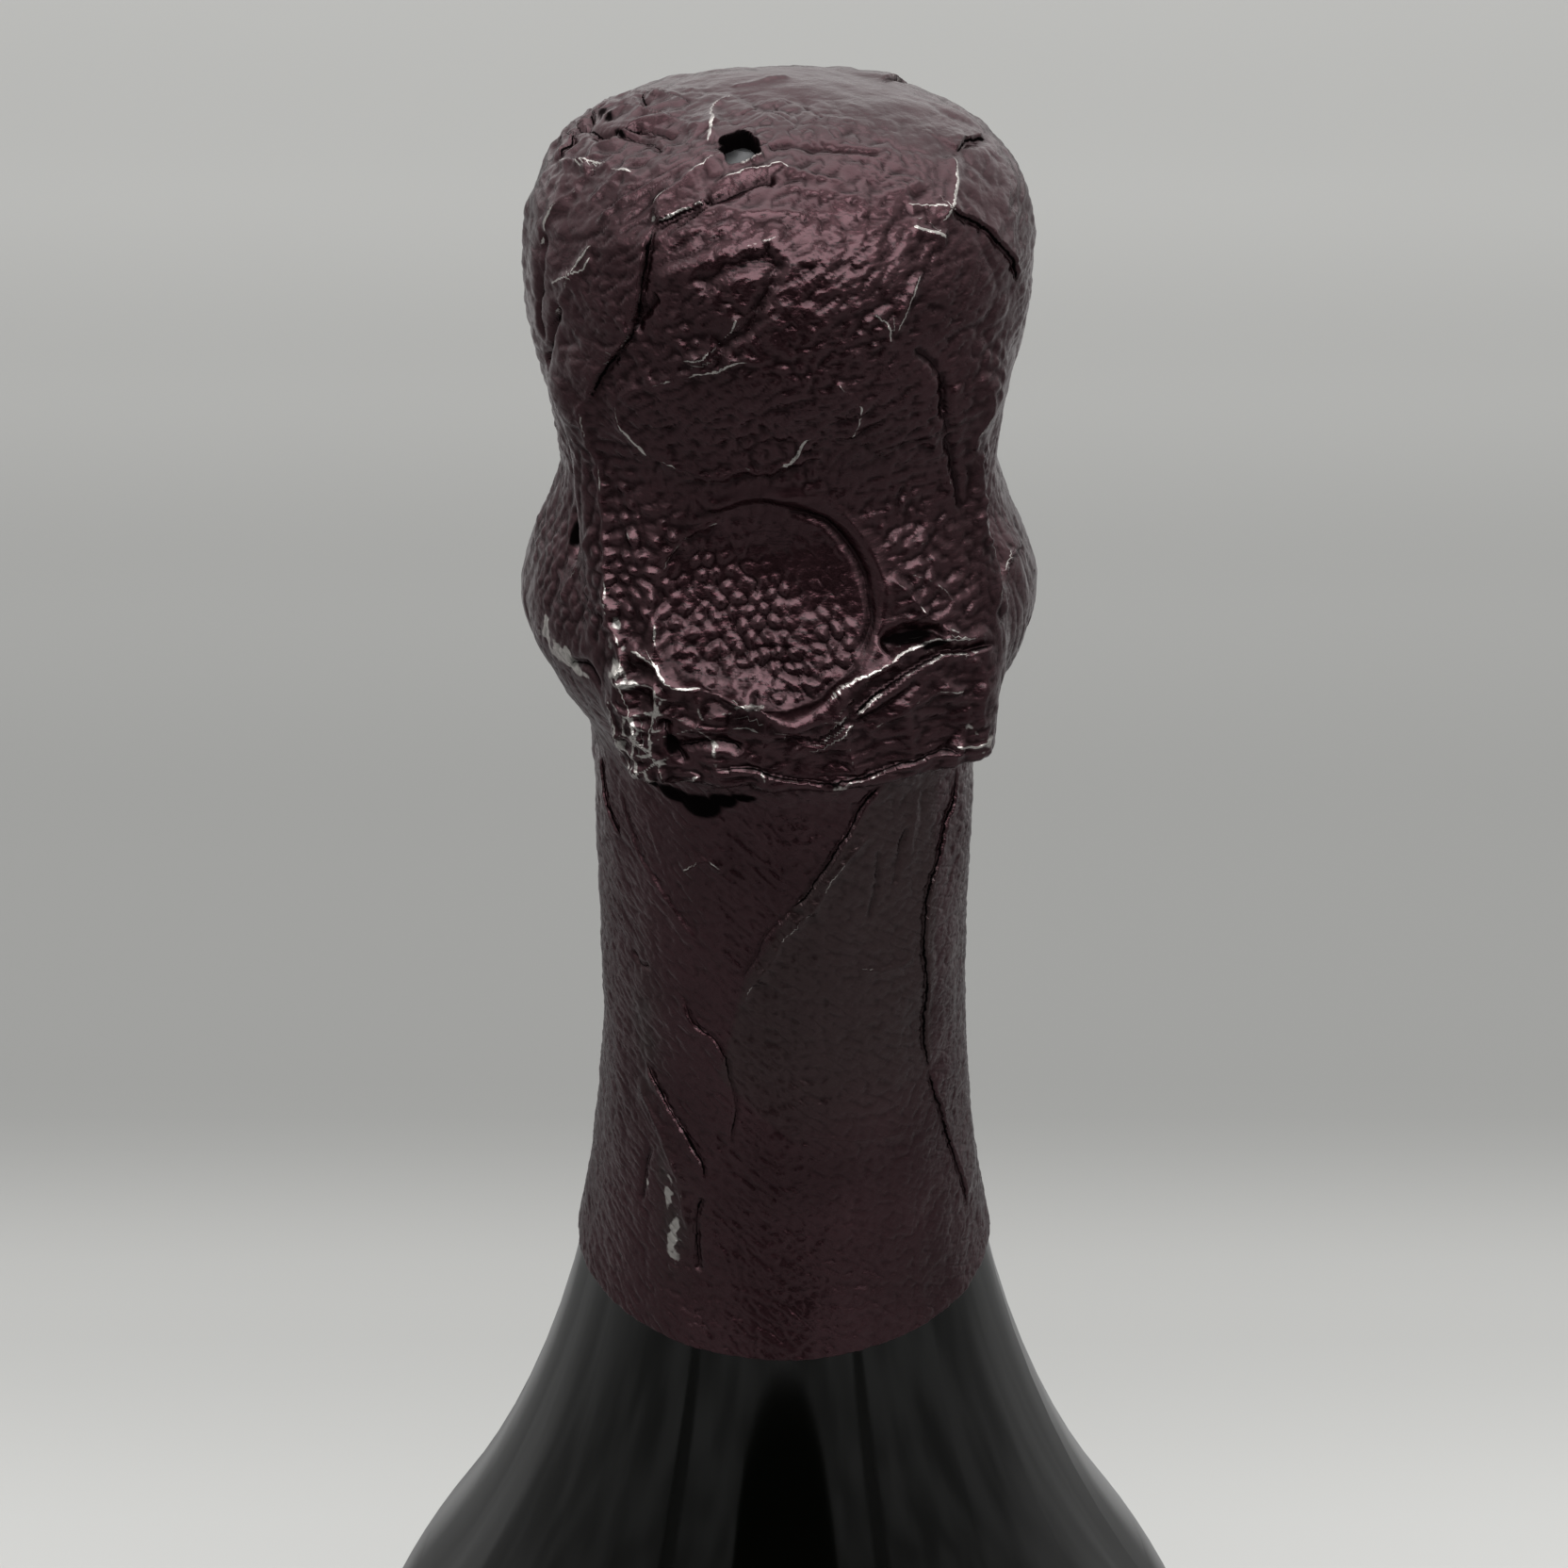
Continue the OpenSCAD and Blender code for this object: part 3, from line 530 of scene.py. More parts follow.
def collar_wrinkles(angle, run, p):
    """Dimples, the round hollow's pattern, and the crumpling of the panel, the ledge and the sides."""
    panel = region(angle, run, *PANEL, 4, 2)
    ledge = region(angle, run, *LEDGE, 4, 1)
    sides = ease(*HEAD_FOOT, run) * fall(*COLLAR_FOOT, run) * (1 - panel) * (1 - ledge)
    slant, flat, tall = slanted(p, *HEAD_SLANT), p * FLAT, p * TALL
    # the hollow's floor, and the smooth band round its right-hand side
    across, down = dish_place(angle, np.interp(run, RUN, RUN_DROP))
    away = np.hypot(across, down)
    floor = fall(0.8, 0.94, away)
    rim = ease(0.75, 0.9, away) * fall(1.05, 1.2, away) * ease(0, 0.4, across - 0.6 * down)
    # dimples, crisp in places and pressed flat in others
    bumps = dimples(angle, run, p)
    front = region(angle, run, *DIMPLED, 10, 3) * (0.25 + 0.75 * ease(-0.3, 0.4, noise(p, 3.5, 59)))
    patches = sides * ease(0, 0.3, noise(p, 6, 60))
    h = (0.15 * front + 0.1 * patches) * bumps * (1 - floor) * (1 - rim)
    # in the hollow they are crispest at its lower left
    crisp = 0.22 + 0.78 * ease(-0.6, 0.15, down - 0.6 * across)
    h += floor * crisp * (0.28 * bumps * (0.7 + 0.5 * noise(p, 3, 61)) + 0.1 * lumps(p, 1.0, 62))
    h += floor * (0.04 + 0.1 * ease(0.1, 0.5, down)) * lumps(p, 0.7, 81)
    # the panel round the hollow, crumpled most at its lower right
    around = panel * (1 - floor) * (1 - 0.8 * rim)
    low = ease(34, 40, run)
    much = around * (0.55 + 0.25 * low + 0.15 * ease(10, 30, angle))
    h += much * (0.14 * lumps(slant, 1.2, 63) + 0.12 * crests(slant, 3.0, 64) - 0.14 * crests(p, 2.4, 65))
    h += around * (0.07 * low * bumps + 0.05 * lumps(tall, 0.8, 66))
    # sides and back, drawn in towards the neck
    h += sides * (0.08 * lumps(tall, 1.2, 67) + 0.05 * lumps(p, 0.7, 68) - 0.16 * crests(tall, 3.5, 69))
    # a few big folds on the ledge, and smaller ones at its lower left
    h += ledge * (0.45 * crests(p, *BIG_FOLDS) - 0.14 * crests(flat, 2.6, 71) + 0.08 * lumps(flat, 1.1, 72))
    h += 0.4 * region(angle, run, *LOW_LEFT, 3, 1) * crests(p, *FACETS)
    return h


def neck_wrinkles(run, p):
    """Fine grain, with wider folds running down."""
    grain, tall = slanted(p, *NECK_SLANT), p * TALL
    h = 0.07 * lumps(grain, 1.4, 73) + 0.05 * lumps(grain, 0.75, 74) + 0.035 * noise(p, 0.5, 75)
    h += 0.1 * noise(tall, 3.0, 76) - 0.05 * crests(tall, 2.4, 77)
    return ease(*COLLAR_FOOT, run) * h


def wrinkles(angle, run, p):
    """Height of the crumpling that covers the whole foil, in mm."""
    h = 0.22 * layered(p, 9, 51) + 0.1 * layered(p, 4, 52)
    return h + head_wrinkles(angle, run, p) + collar_wrinkles(angle, run, p) + neck_wrinkles(run, p)


# -------- the foil's meshes
FINE, COARSE = 0.5, 1.2      # degrees between columns at the front and at the back
FRONT = 80                   # half width of the finely meshed front, degrees
ROW, FIRST_ROW = 0.18, 0.3   # run between rows, and run of the first one, mm
LEDGE_ROWS = 24              # rows round the ledge's lower edge, where the outline turns under
HOOD_END = 60.0              # run where the hood's mesh meets the skirt's, in the shade below the ledge
LEAST_COVER = 0.12           # least distance between the foil's outside and the glass or stopper, mm
EDGE_THICK = 0.3             # thickness that shows at the foil's lower edge, mm
EDGE_ROLL, EDGE_SINK = 0.06, 0.1     # how far below that edge its rounding and its inside are, mm
HOLE_DEPTH = 1.5             # how far the foil dips into the torn hole, past the cap's surface, mm
LIP_HEIGHT = 0.25            # how far the hole's torn lower lip stands up, mm
CROWN = 0.4                  # how far the middle of the top stands above the plain outline, mm
LEAN = 0.4                   # how far the head leans to the left, mm
DEEPEST = 0.75               # how far the wrinkles may sink below the plain outline, mm
# VALLEY also sets how deep a point must lie to get the full painted shade of the valleys.
VALLEY = 0.06                # depth below its surroundings at which a point counts as a full valley, mm

# Spots that are bare, painted with shade or faded: degrees from the front, run, and half widths across and
# along, in mm
WORN = [(-63, 49, 0.9, 1.3), (-58, 50.1, 1.3, 1), (-53, 50.4, 1.6, 0.8), (-48, 50.8, 1, 0.4),
        (-37, 46.4, 0.45, 1.4), (-35, 48.4, 0.7, 1.1), (-32, 49.6, 0.8, 0.4), (-30, 57.5, 0.8, 0.6),
        (-28, 59.2, 0.9, 0.4), (-34, 54.8, 0.5, 1.2), (-24, 58, 0.7, 0.4), (-6, 50.8, 1.6, 0.3),
        (44, 55.6, 1, 0.5), (41, 56.2, 0.8, 0.3), (-38, 7.3, 0.5, 0.5), (-25, 15.9, 0.6, 0.15),
        (-31, 16.1, 0.25, 0.3), (-45, 98.6, 0.35, 0.5), (-36, 98, 0.5, 1.6), (-33, 102.6, 0.8, 2.4)]
# The spots below are painted shade in pits, cracks and the hollow under the ledge.
PAINTED_SHADE_SPOTS = [(-41, 61.6, 1.2, 0.45), (-32, 61.8, 2.4, 0.9), (-24, 62.2, 2.4, 1.3), (-17, 61.3, 1.6, 0.9),
        (-11, 60.8, 1.4, 0.5), (-23, 53.8, 0.6, 1.2), (29, 46.2, 2.2, 0.55), (34, 46.9, 1.2, 0.4),
        (-62, 41.6, 0.8, 1.6), (-61, 28, 0.6, 1.1), (-105, 13, 1.8, 0.5), (-96, 12, 2.2, 0.25),
        (-88, 11.4, 1.6, 0.35), (-77, 9.3, 1.2, 0.3), (-70, 11.2, 2.2, 0.2)]
FADED = [(-33, 101, 1.8, 4.4), (-38, 96, 1, 2), (-48, 84, 2, 6)]
# The neck's right-hand lap, duller than the rest, starts from this line: run and degrees from the front
DULL_FROM = [(60.5, 29), (65, 17), (70.6, 1), (77, -12), (86, -20), (96, 20)]
DULL_TO = 50, 53             # and ends between these degrees


def grid_lines():
    """Angles of the columns, in degrees, and runs of the rows, in mm."""
    front = np.arange(-FRONT, FRONT, FINE)
    back = np.arange(FRONT, 360 - FRONT, COARSE)
    angles = np.concatenate([front, back])
    angles = np.where(angles > 180, angles - 360, angles)
    under = np.interp([LEDGE_END - 0.4, LEDGE_END + LEDGE_TUCK + 0.2], RUN_DROP, RUN)
    rows = np.concatenate([
        np.arange(FIRST_ROW, under[0], ROW), np.linspace(under[0], under[1], LEDGE_ROWS),
        np.arange(under[1] + ROW, RUN[-1], ROW), [RUN[-1]]])
    return angles, rows


def covered_r(drop):
    """Radius of the glass and the stopper under the foil's waist and collar."""
    d, r = np.array(COVERED).T
    return np.where(drop < d[-1], np.interp(drop, d, r), glass_r(drop))


def normals_of(points):
    """Unit normals of a closed grid of points, facing out."""
    around = np.roll(points, -1, 1) - np.roll(points, 1, 1)
    down = np.gradient(points, axis=0)
    n = np.cross(down, around)
    return n / (np.linalg.norm(n, axis=-1, keepdims=True) + 1e-12)


def valleys(relief):
    """How far each point of the grid lies below those round it, from 0 to 1."""
    steps = range(-3, 4)
    wide = sum(np.roll(relief, k, 1) for k in steps) / 7
    wide = sum(wide[np.clip(np.arange(len(wide)) + k, 0, len(wide) - 1)] for k in steps) / 7
    return np.clip((wide - relief) / VALLEY, 0, 1)


def torn_hole(points):
    """Distance of points of the top outside the hole's ragged edge, in mm."""
    x, y = points[:, 0] - HOLE_X, -points[:, 1] - HOLE_Y
    ragged = 0.22 * noise(points, 0.9, 71)
    out = (np.hypot(x / (HOLE_W / 2), y / (HOLE_L / 2)) - 1 + ragged) * HOLE_W / 2
    return np.where(points[:, 2] > CAP_Z - 2, out, 99)


def spots(places, angle, run):
    """1 at the middle of each spot, falling to 0 round it."""
    value = np.zeros(len(angle))
    for at, where, across, along in places:
        u = np.radians(angle - at) * HEAD_R / across
        v = (run - where) / along
        value = np.maximum(value, np.exp(-(u * u + v * v)))
    return value


def dull_foil(angle, run, points):
    """Where the foil's colour is faded, from 0 to 1."""
    runs, start = np.array(DULL_FROM, float).T
    lap = ease(-1, 1.5, angle - np.interp(run, runs, start)) * fall(*DULL_TO, angle)
    lap = lap * ease(60, 61, run) * fall(84, 96, run)
    return np.maximum(0.6 * lap, spots(FADED, angle, run) * (0.7 + 0.5 * noise(points, 1.2, 76)))


def keep_off(points):
    """Move points out where they would touch what the foil covers."""
    drop = TOP_Z - points[:, 2]
    r = np.hypot(points[:, 0], points[:, 1])
    least = covered_r(drop) + LEAST_COVER
    push = np.where((drop > LIP_DROP) & (r < least), least / np.maximum(r, 1), 1)
    points[:, :2] *= push[:, None]


def tear(points):
    """Sink the torn hole into the top. Returns the painted shade of its far wall, and how much its lower lip
    shows.
    """
    edge = torn_hole(points)
    near_side = ease(0.2, 1.4, -points[:, 1] - HOLE_Y)
    points[:, 2] -= HOLE_DEPTH * fall(-0.16, 0.0, edge)
    lip = np.exp(-((edge - 0.12) / 0.12) ** 2) * near_side * ease(-1.2, 0.4, points[:, 0] - HOLE_X)
    points[:, 2] += LIP_HEIGHT * lip
    return fall(-0.12, -0.04, edge - 0.16 * (1 - near_side)), lip


def bare_metal(angle, run, p):
    """Where the colour has worn off the foil, from 0 to 1: spots, and the sharpest creases round the ledge."""
    specks = 0.5 + 0.6 * noise(p, 0.9, 72) + 0.3 * noise(p, 0.4, 73)
    facets = region(angle, run, *LOW_LEFT, 3, 1) * crests(p, *FACETS) ** 9
    folds = region(angle, run, *LEDGE_FACE, 3, 1) * crests(p, *BIG_FOLDS) ** 9
    worn = np.maximum(1.5 * specks * spots(WORN, angle, run), 0.9 * facets)
    return np.clip(np.maximum(worn, 0.6 * folds * specks), 0, 1)


def shaped_foil():
    """The foil's grid of points, the runs of its rows, and the point values that its material reads."""
    angles, rows = grid_lines()
    angle, run = np.meshgrid(angles, rows)
    plain = foil_point(angle, run)
    p, n = plain.reshape(-1, 3), normals_of(plain).reshape(-1, 3)
    a, v = angle.ravel(), run.ravel()
    high, layers = add_creases(p, n)
    relief = (high + wrinkles(a, v, p)) * ease(0, 2.0, v)
    moved = p + n * np.maximum(relief, -DEEPEST)[:, None]
    # the top is a little fuller and leans to the left
    moved[:, 2] += CROWN * fall(2, 13, v)
    moved[:, 0] -= LEAN * fall(40, 70, v)
    keep_off(moved)
    far_wall_shade, lip = tear(moved)
    # painted shade in the wrinkles' valleys, half as strong on the neck and on the head's flanks
    flanks = ease(*FLANK, np.abs(a)) * fall(*HEAD_FOOT, v)
    shade = (1 - 0.5 * ease(*COLLAR_FOOT, v)) * (1 - 0.5 * flanks)
    layers["valley"] = valleys(relief.reshape(angle.shape)).ravel() * shade
    layers["worn"] = np.maximum(0.62 * lip, bare_metal(a, v, p))
    # painted shade: the torn hole's far wall and the shade spots go dark
    layers["dark"] = np.maximum(far_wall_shade, ease(0.4, 0.6, spots(PAINTED_SHADE_SPOTS, a, v)))
    layers["dull"] = dull_foil(a, v, p)
    layers = {key: layer.reshape(angle.shape) for key, layer in layers.items()}
    return moved.reshape(plain.shape), rows, layers


def add_object(name, data):
    """An object in the scene that shows the data given."""
    obj = bpy.data.objects.new(name, data)
    bpy.context.scene.collection.objects.link(obj)
    return obj


def add_mesh(name, rings, normals, layers, capped):
    """A mesh from a stack of closed rings of points, given in mm, with its point values."""
    count, columns = rings.shape[:2]
    points = rings.reshape(-1, 3) * MM
    first = np.arange(count - 1)[:, None] * columns + np.arange(columns)
    second = np.arange(count - 1)[:, None] * columns + (np.arange(columns) + 1) % columns
    faces = np.stack([first, first + columns, second + columns, second], axis=-1).reshape(-1, 4).tolist()
    values = {key: layer.ravel() for key, layer in layers.items()}
    vertex_normals = normals.reshape(-1, 3)
    if capped:
        points = np.vstack([points, points[:columns].mean(0)])
        vertex_normals = np.vstack([vertex_normals, [0, 0, 1]])
        values = {key: np.append(layer, 0) for key, layer in values.items()}
        tip = len(points) - 1
        faces += [(tip, int(k), int((k + 1) % columns)) for k in range(columns)]
    mesh = bpy.data.meshes.new(name)
    mesh.from_pydata(points.tolist(), [], faces)
    for key, layer in values.items():
        mesh.attributes.new(key, "FLOAT", "POINT").data.foreach_set("value", layer.astype(np.float32))
    mesh.polygons.foreach_set("use_smooth", [True] * len(mesh.polygons))
    mesh.normals_split_custom_set_from_vertices(vertex_normals.tolist())
    return add_object(name, mesh)


def make_foil():
    """The foil's two skins, which meet at HOOD_END and share their normals there."""
    points, rows, layers = shaped_foil()
    # the lower edge turns in to the glass
    last = points[-1]
    r = np.hypot(last[:, 0], last[:, 1])[:, None]
    turned = [last - [0, 0, EDGE_ROLL]]
    for share in (0.5, 1.0):
        inner = np.maximum(r - EDGE_THICK * share, 1)
        turned.append(np.concatenate([last[:, :2] * inner / r, last[:, 2:] - EDGE_SINK], axis=-1))
    points = np.concatenate([points, np.stack(turned)])
    layers = {key: np.concatenate([layer, layer[-1:].repeat(3, 0)]) for key, layer in layers.items()}
    normals = normals_of(points)
    cut = int(np.searchsorted(rows, HOOD_END))
    parts = []
    for name, top, end in (("foil_hood", 0, cut + 1), ("foil_skirt", cut, len(points))):
        values = {key: layer[top:end] for key, layer in layers.items()}
        parts.append(add_mesh(name, points[top:end], normals[top:end], values, top == 0))
    return parts


# -------- materials
# Colours: red, green and blue, as linear values. Pairs are the two ends that patchy noise runs between.
BURGUNDY = (0.056, 0.0235, 0.0285), (0.078, 0.034, 0.041)
FADED_FOIL = 0.066, 0.047, 0.046, 1
BARE_FOIL = 0.6, 0.57, 0.54, 1
FOIL_SHEEN = 0.65, 0.6, 0.61, 1
GREEN_BLACK = (0.0004, 0.0006, 0.0004), (0.0012, 0.0012, 0.0008)
STEEL = (0.08, 0.08, 0.082), (0.2, 0.2, 0.205)
BLACK, WHITE = (0, 0, 0), (1, 1, 1)


def new_material(name):
    m = bpy.data.materials.new(name)
    m.use_nodes = True
    tree = m.node_tree
    return m, tree, tree.nodes["Principled BSDF"]


def node(tree, kind, links=(), **settings):
    """A node with its settings and linked inputs: links are (input, socket or value)."""
    n = tree.nodes.new("ShaderNode" + kind)
    for key, value in settings.items():
        setattr(n, key, value)
    for key, value in links:
        if isinstance(value, bpy.types.NodeSocket):
            tree.links.new(value, n.inputs[key])
        else:
            n.inputs[key].default_value = value
    return n


def fine_noise(tree, size, detail=3.0, stretch=(1, 1, 1)):
    """Noise from 0 to 1 over the piece's own space, with lumps about size metres across."""
    where = node(tree, "TexCoord").outputs["Object"]
    placed = node(tree, "Mapping", [("Vector", where), ("Scale", stretch)]).outputs[0]
    links = [("Vector", placed), ("Scale", 1 / size), ("Detail", detail)]
    return node(tree, "TexNoise", links).outputs["Fac"]


def ramp(tree, fac, low, high, a, b):
    """Colour a below low, colour b above high."""
    r = node(tree, "ValToRGB", [("Fac", fac)])
    r.color_ramp.elements[0].position, r.color_ramp.elements[1].position = low, high
    r.color_ramp.elements[0].color, r.color_ramp.elements[1].color = (*a, 1), (*b, 1)
    return r.outputs["Color"]


def blend(tree, fac, a, b, mode="MIX"):
    n = node(tree, "Mix", data_type="RGBA", blend_type=mode)
    for key, value in ((0, fac), (6, a), (7, b)):
        if isinstance(value, bpy.types.NodeSocket):
            tree.links.new(value, n.inputs[key])
        else:
            n.inputs[key].default_value = value
    return n.outputs[2]


def maths(tree, operation, *values, clamp=False):
    inputs = list(enumerate(values))
    return node(tree, "Math", inputs, operation=operation, use_clamp=clamp).outputs[0]


def scaled(tree, value, share, base=0.0, clamp=False):
    """base + share * value."""
    return maths(tree, "ADD", maths(tree, "MULTIPLY", value, share), base, clamp=clamp)


def add_bump(tree, shader, height, strength, distance):
    """Bend the shader's normals by a height of up to distance metres."""
    links = [("Height", height), ("Strength", strength), ("Distance", distance)]
    tree.links.new(node(tree, "Bump", links).outputs[0], shader.inputs["Normal"])


def attribute(tree, name):
    return node(tree, "Attribute", attribute_name=name).outputs["Fac"]


def band(tree, offset, middle, half, soft):
    """1 within half of middle, falling to 0 over soft, in mm across a crease."""
    away = maths(tree, "ABSOLUTE", maths(tree, "SUBTRACT", offset, middle))
    return maths(tree, "DIVIDE", maths(tree, "SUBTRACT", half + soft, away), soft, clamp=True)


def foil_material():
    """Burgundy lacquer over pale metal. Beside creases it shows painted shade in their gaps, bare edges and
    small steps; the wrinkles' valleys and the dark spots get painted shade too.
    """
    m, tree, shader = new_material("foil")
    # distance to the left of the nearest crease, made a little ragged
    ragged = maths(tree, "MULTIPLY", maths(tree, "SUBTRACT", fine_noise(tree, 0.0005, 2), 0.5), 0.25)
    offset = maths(tree, "ADD", attribute(tree, "offset"), ragged)
    # where deep shade is painted (the creases' gaps and the dark spots), and where the metal is bare
    line = maths(tree, "MULTIPLY", band(tree, offset, -0.07, 0.01, 0.08), attribute(tree, "gap_shade"), clamp=True)
    deep = maths(tree, "MAXIMUM", line, attribute(tree, "dark"))
    lit = maths(tree, "SUBTRACT", 1.0, deep, clamp=True)
    edge = maths(tree, "MULTIPLY", band(tree, offset, 0.07, 0.03, 0.1), attribute(tree, "bare"))
    worn = maths(tree, "MAXIMUM", edge, attribute(tree, "worn"))
    worn = maths(tree, "ADD", worn, maths(tree, "MULTIPLY", fine_noise(tree, 0.0006, 4), 0.9))
    mask = maths(tree, "MULTIPLY", maths(tree, "SUBTRACT", worn, 0.82), 5.0, clamp=True)
    # colour
    base = ramp(tree, fine_noise(tree, 0.009), 0.35, 0.65, *BURGUNDY)
    base = blend(tree, attribute(tree, "dull"), base, FADED_FOIL)
    colour = blend(tree, mask, base, BARE_FOIL)
    # painted shade: colour darkened up to 65% in the wrinkles' valleys, and almost black in the painted gaps
    # and dark spots
    valley_shade = maths(tree, "MULTIPLY", attribute(tree, "valley"), 0.65)
    unshaded = maths(tree, "MULTIPLY", lit, maths(tree, "SUBTRACT", 1.0, valley_shade))
    colour = blend(tree, 1.0, colour, scaled(tree, unshaded, 0.97, 0.03), "MULTIPLY")
    tree.links.new(colour, shader.inputs["Base Color"])
    # shine: duller where it is faded, and dead where deep shade is painted
    rough = scaled(tree, fine_noise(tree, 0.004), 0.16, 0.19)
    rough = scaled(tree, attribute(tree, "dull"), 0.08, rough)
    rough = scaled(tree, deep, 0.6, rough, clamp=True)
    tree.links.new(rough, shader.inputs["Roughness"])
    # the coat fades with the painted shade, so the painted gaps, dark spots and valleys lose their reflection
    # too
    tree.links.new(maths(tree, "MULTIPLY", unshaded, 0.5), shader.inputs["Coat Weight"])
    # grain too fine for the mesh, and the steps of the laps
    coarse, fine = (fine_noise(tree, size, 2, (1, 1, 1.6)) for size in (0.0009, 0.0004))
    grain = scaled(tree, fine, 0.6, coarse)
    step = maths(tree, "DIVIDE", maths(tree, "ADD", offset, 0.1), 0.2, clamp=True)
    step = maths(tree, "MULTIPLY", step, attribute(tree, "step"))
    add_bump(tree, shader, maths(tree, "ADD", grain, step), 0.5, 0.00015)
    shader.inputs["Metallic"].default_value = 0.9
    shader.inputs["Specular Tint"].default_value = FOIL_SHEEN
    shader.inputs["Coat Roughness"].default_value = 0.2
    return m


def glass_material():
    """Glass so dark that only its surface shows."""
    m, tree, shader = new_material("glass")
    tint = ramp(tree, fine_noise(tree, 0.05, 2), 0.3, 0.7, *GREEN_BLACK)
    tree.links.new(tint, shader.inputs["Base Color"])
    tree.links.new(scaled(tree, fine_noise(tree, 0.02, 4), 0.08, 0.04), shader.inputs["Roughness"])
    add_bump(tree, shader, fine_noise(tree, 0.03, 1, (1, 1, 0.35)), 0.25, 0.0006)
    shader.inputs["IOR"].default_value = 1.52
    return m


def cap_material():
    """Worn steel, seen at the bottom of the torn hole."""
    m, tree, shader = new_material("stopper_cap")
    tone = ramp(tree, fine_noise(tree, 0.002, 3), 0.3, 0.7, *STEEL)
    tree.links.new(tone, shader.inputs["Base Color"])
    tree.links.new(scaled(tree, fine_noise(tree, 0.001), 0.2, 0.3), shader.inputs["Roughness"])
    shader.inputs["Metallic"].default_value = 0.9
    return m


def dress(obj, material):
    obj.data.materials.clear()
    obj.data.materials.append(material)


# -------- stage, lights and camera
# Tone of the pale floor by distance behind the bottle: metres, and grey from 0 to 1 before FLOOR_SHARE.
# It is painted shade and light, with a darker band just behind the bottle.
FLOOR_TONES = [(-0.6, 0.65), (0.17, 0.65), (0.24, 0.52), (0.31, 0.345), (0.42, 0.35), (0.55, 0.39),
               (0.7, 0.46), (0.9, 0.54), (1.3, 0.61)]
FLOOR_SHARE = 0.9825
FLOOR_SPAN = (-1.0, 2.0)     # distances that the tones are spread over, metres
FLOOR_HALF = 4.0             # half of the floor's width, metres
# the floor's falloff is painted shade, darkening it towards its far edges
DARK_FROM = 0.32, 0.6        # the floor falls off between these shares of FLOOR_HALF from the bottle

# Soft light panels, in metres: name, place, size and glow
PANELS = [("key", (0.1, -0.75, 1.05), (1.2, 0.9), 2.2),
          ("top", (0.12, 0.5, 1.4), (1.4, 0.9), 0.9),
          ("small_left", (-0.6, -0.25, 0.95), (0.12, 0.2), 3.0)]
AIM_BELOW_TOP = 0.04

# Upright sheets for the glass to reflect, FLAG_AWAY metres off: name, azimuth from the front in degrees, half
# width, heights of foot, widest place and top, and grey
FLAG_AWAY = 0.6
# Their greys are painted shade, standing in for the dim room in reflections.
FLAGS = [("flag_front", 0, 0.22, (0.035, 0.2, 0.6), 0.003),
         ("flag_left", -44, 0.035, (0.0, 0.08, 0.17), 0.13),
         ("flag_right", 37, 0.03, (0.0, 0.08, 0.17), 0.13)]
# flag_low only shows in reflections over the floor, with painted shade: darker in front of the bottle, lighter
# behind.
LOW_FLAG_HALF, LOW_FLAG_Z, LOW_FLAG_TONES = 1.9, 0.002, (0.24, 0.6)

# The camera: a long lens near the top of the bottle. Distances from the foil's top are in metres.
LENS, SENSOR = 66.5, 36
CAMERA_FORWARD, CAMERA_ABOVE, CAMERA_TILT = 0.1902, 0.0608, 30.96


def square(half, z=0.0):
    """Corners of a level square round the bottle's axis."""
    return [(-half, -half, z), (half, -half, z), (half, half, z), (-half, half, z)]


def make_floor():
    """A wide pale floor that runs on behind the bottle as its background."""
    mesh = bpy.data.meshes.new("floor")
    mesh.from_pydata(square(FLOOR_HALF), [], [(0, 1, 2, 3)])
    floor = add_object("floor", mesh)
    m, tree, shader = new_material("floor")
    where = node(tree, "TexCoord").outputs["Object"]
    y = node(tree, "SeparateXYZ", [(0, where)]).outputs["Y"]
    low, high = FLOOR_SPAN
    share = maths(tree, "DIVIDE", maths(tree, "SUBTRACT", y, low), high - low, clamp=True)
    r = node(tree, "ValToRGB", [("Fac", share)])
    r.color_ramp.interpolation = "EASE"
    stops = r.color_ramp.elements
    while len(stops) < len(FLOOR_TONES):
        stops.new(0.5)
    for stop, (place, tone) in zip(stops, FLOOR_TONES):
        stop.position = (place - low) / (high - low)
        grey = tone * FLOOR_SHARE
        stop.color = (grey, grey, grey * 0.98, 1)
    # painted shade towards the floor's far edges
    away = node(tree, "VectorMath", [(0, where)], operation="LENGTH").outputs["Value"]
    far = ramp(tree, maths(tree, "DIVIDE", away, FLOOR_HALF), *DARK_FROM, WHITE, [0.3] * 3)
    tree.links.new(blend(tree, 1.0, r.outputs[0], far, "MULTIPLY"), shader.inputs["Base Color"])
    shader.inputs["Roughness"].default_value = 0.9
    shader.inputs["Specular IOR Level"].default_value = 0.1
    dress(floor, m)


def add_light(name, place, aim, size, glow):
    """A soft light panel, as bright to look at as glow."""
    light = bpy.data.lights.new(name, "AREA")
    light.shape = "RECTANGLE"
    light.size, light.size_y = size
    light.energy = glow * math.pi * size[0] * size[1]
    obj = add_object(name, light)
    obj.location = place
    obj.rotation_euler = (Vector(aim) - Vector(place)).to_track_quat("-Z", "Y").to_euler()


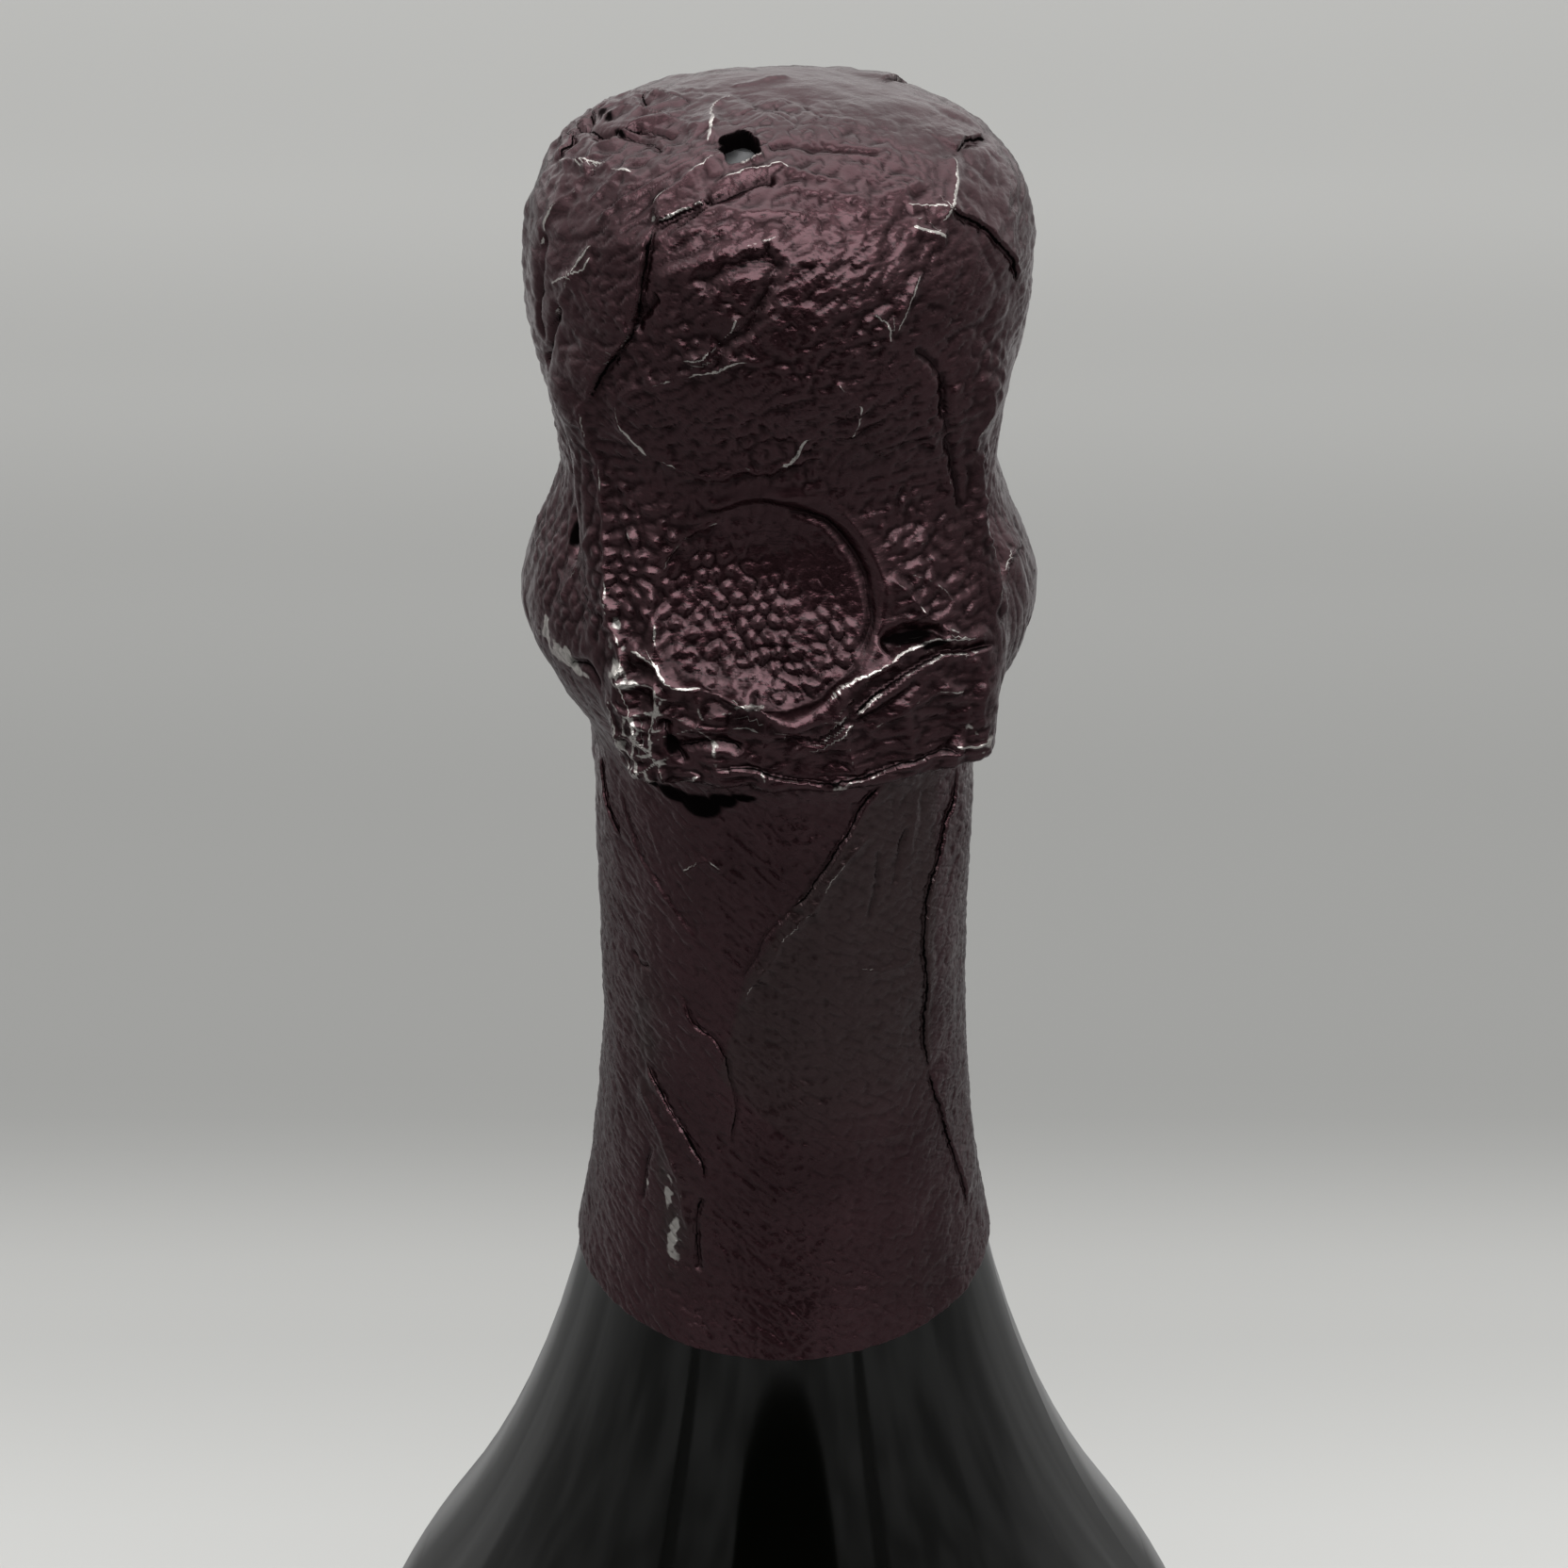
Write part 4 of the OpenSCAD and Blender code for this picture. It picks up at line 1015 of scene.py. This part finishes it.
def add_flag(name, corners, front, back):
    """A sheet that only shows in reflections, with painted shade for the dim room, toned from its front to its
    back.
    """
    mesh = bpy.data.meshes.new(name)
    mesh.from_pydata(corners, [], [range(len(corners))])
    flag = add_object(name, mesh)
    m, tree, shader = new_material(name)
    where = node(tree, "TexCoord").outputs["Object"]
    y = node(tree, "SeparateXYZ", [(0, where)]).outputs["Y"]
    tone = ramp(tree, y, 0.0, 0.7, [front] * 3, [back] * 3)
    uneven = ramp(tree, fine_noise(tree, 0.2), 0.4, 0.6, [0.5] * 3, WHITE)
    tree.links.new(blend(tree, 1.0, tone, uneven, "MULTIPLY"), shader.inputs["Base Color"])
    shader.inputs["Roughness"].default_value = 1
    shader.inputs["Specular IOR Level"].default_value = 0
    dress(flag, m)
    flag.visible_camera = flag.visible_diffuse = flag.visible_shadow = False


def standing(azimuth, half, heights):
    """Corners of an upright oval facing the bottle at an azimuth from the front, in degrees.

    Its heights are those of its foot, of its widest place and of its top.
    """
    low, widest, high = heights
    a = math.radians(azimuth)
    side, away = (math.cos(a), math.sin(a)), (math.sin(a), -math.cos(a))
    corners = []
    for turn in np.linspace(0, 2 * math.pi, 48, endpoint=False):
        across, up = math.cos(turn), math.sin(turn)
        u = half * math.copysign(abs(across) ** 0.5, across)
        z = widest + up * (high - widest if up > 0 else widest - low)
        corners.append((side[0] * u + away[0] * FLAG_AWAY, side[1] * u + away[1] * FLAG_AWAY, z))
    return corners


def light_scene():
    """Light panels, sheets for the glass to reflect, and a pale room that is brighter above and behind."""
    aim = (0, 0, TOP_Z * MM - AIM_BELOW_TOP)
    for name, place, size, glow in PANELS:
        add_light(name, place, aim, size, glow)
    add_flag("flag_low", square(LOW_FLAG_HALF, LOW_FLAG_Z), *LOW_FLAG_TONES)
    for name, azimuth, half, heights, tone in FLAGS:
        add_flag(name, standing(azimuth, half, heights), tone, tone)
    world = bpy.data.worlds.new("studio")
    bpy.context.scene.world = world
    world.use_nodes = True
    tree = world.node_tree
    way = node(tree, "TexCoord").outputs["Generated"]
    up = node(tree, "SeparateXYZ", [(0, way)]).outputs["Z"]
    tone = ramp(tree, up, 0.05, 0.75, (0.25, 0.25, 0.247), (0.75, 0.75, 0.74))
    links = [(0, way), (1, (0, 1, 0))]
    behind = node(tree, "VectorMath", links, operation="DOT_PRODUCT").outputs["Value"]
    tone = blend(tree, ramp(tree, behind, 0.1, 0.8, BLACK, WHITE), tone, (0.9, 0.9, 0.89, 1))
    tree.links.new(tone, tree.nodes["Background"].inputs["Color"])
    tree.nodes["Background"].inputs["Strength"].default_value = 1.0


def aim_camera():
    """A long lens close to the top of the bottle, looking down at it."""
    camera = add_object("camera", bpy.data.cameras.new("camera"))
    camera.data.lens = LENS
    camera.data.sensor_width = SENSOR
    camera.data.clip_start = 0.01
    camera.location = (0, -CAMERA_FORWARD, TOP_Z * MM + CAMERA_ABOVE)
    camera.rotation_euler = (math.radians(90 - CAMERA_TILT), 0, 0)
    bpy.context.scene.camera = camera


# -------- the scene
hood, skirt = make_foil()
foil_look = foil_material()
for piece in (hood, skirt):
    dress(piece, foil_look)
    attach(piece, "root")
    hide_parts("foil")
dress(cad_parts["glass"], glass_material())
dress(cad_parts["stopper"], cap_material())
make_floor()
light_scene()
aim_camera()
bpy.context.scene.view_settings.view_transform = "Standard"
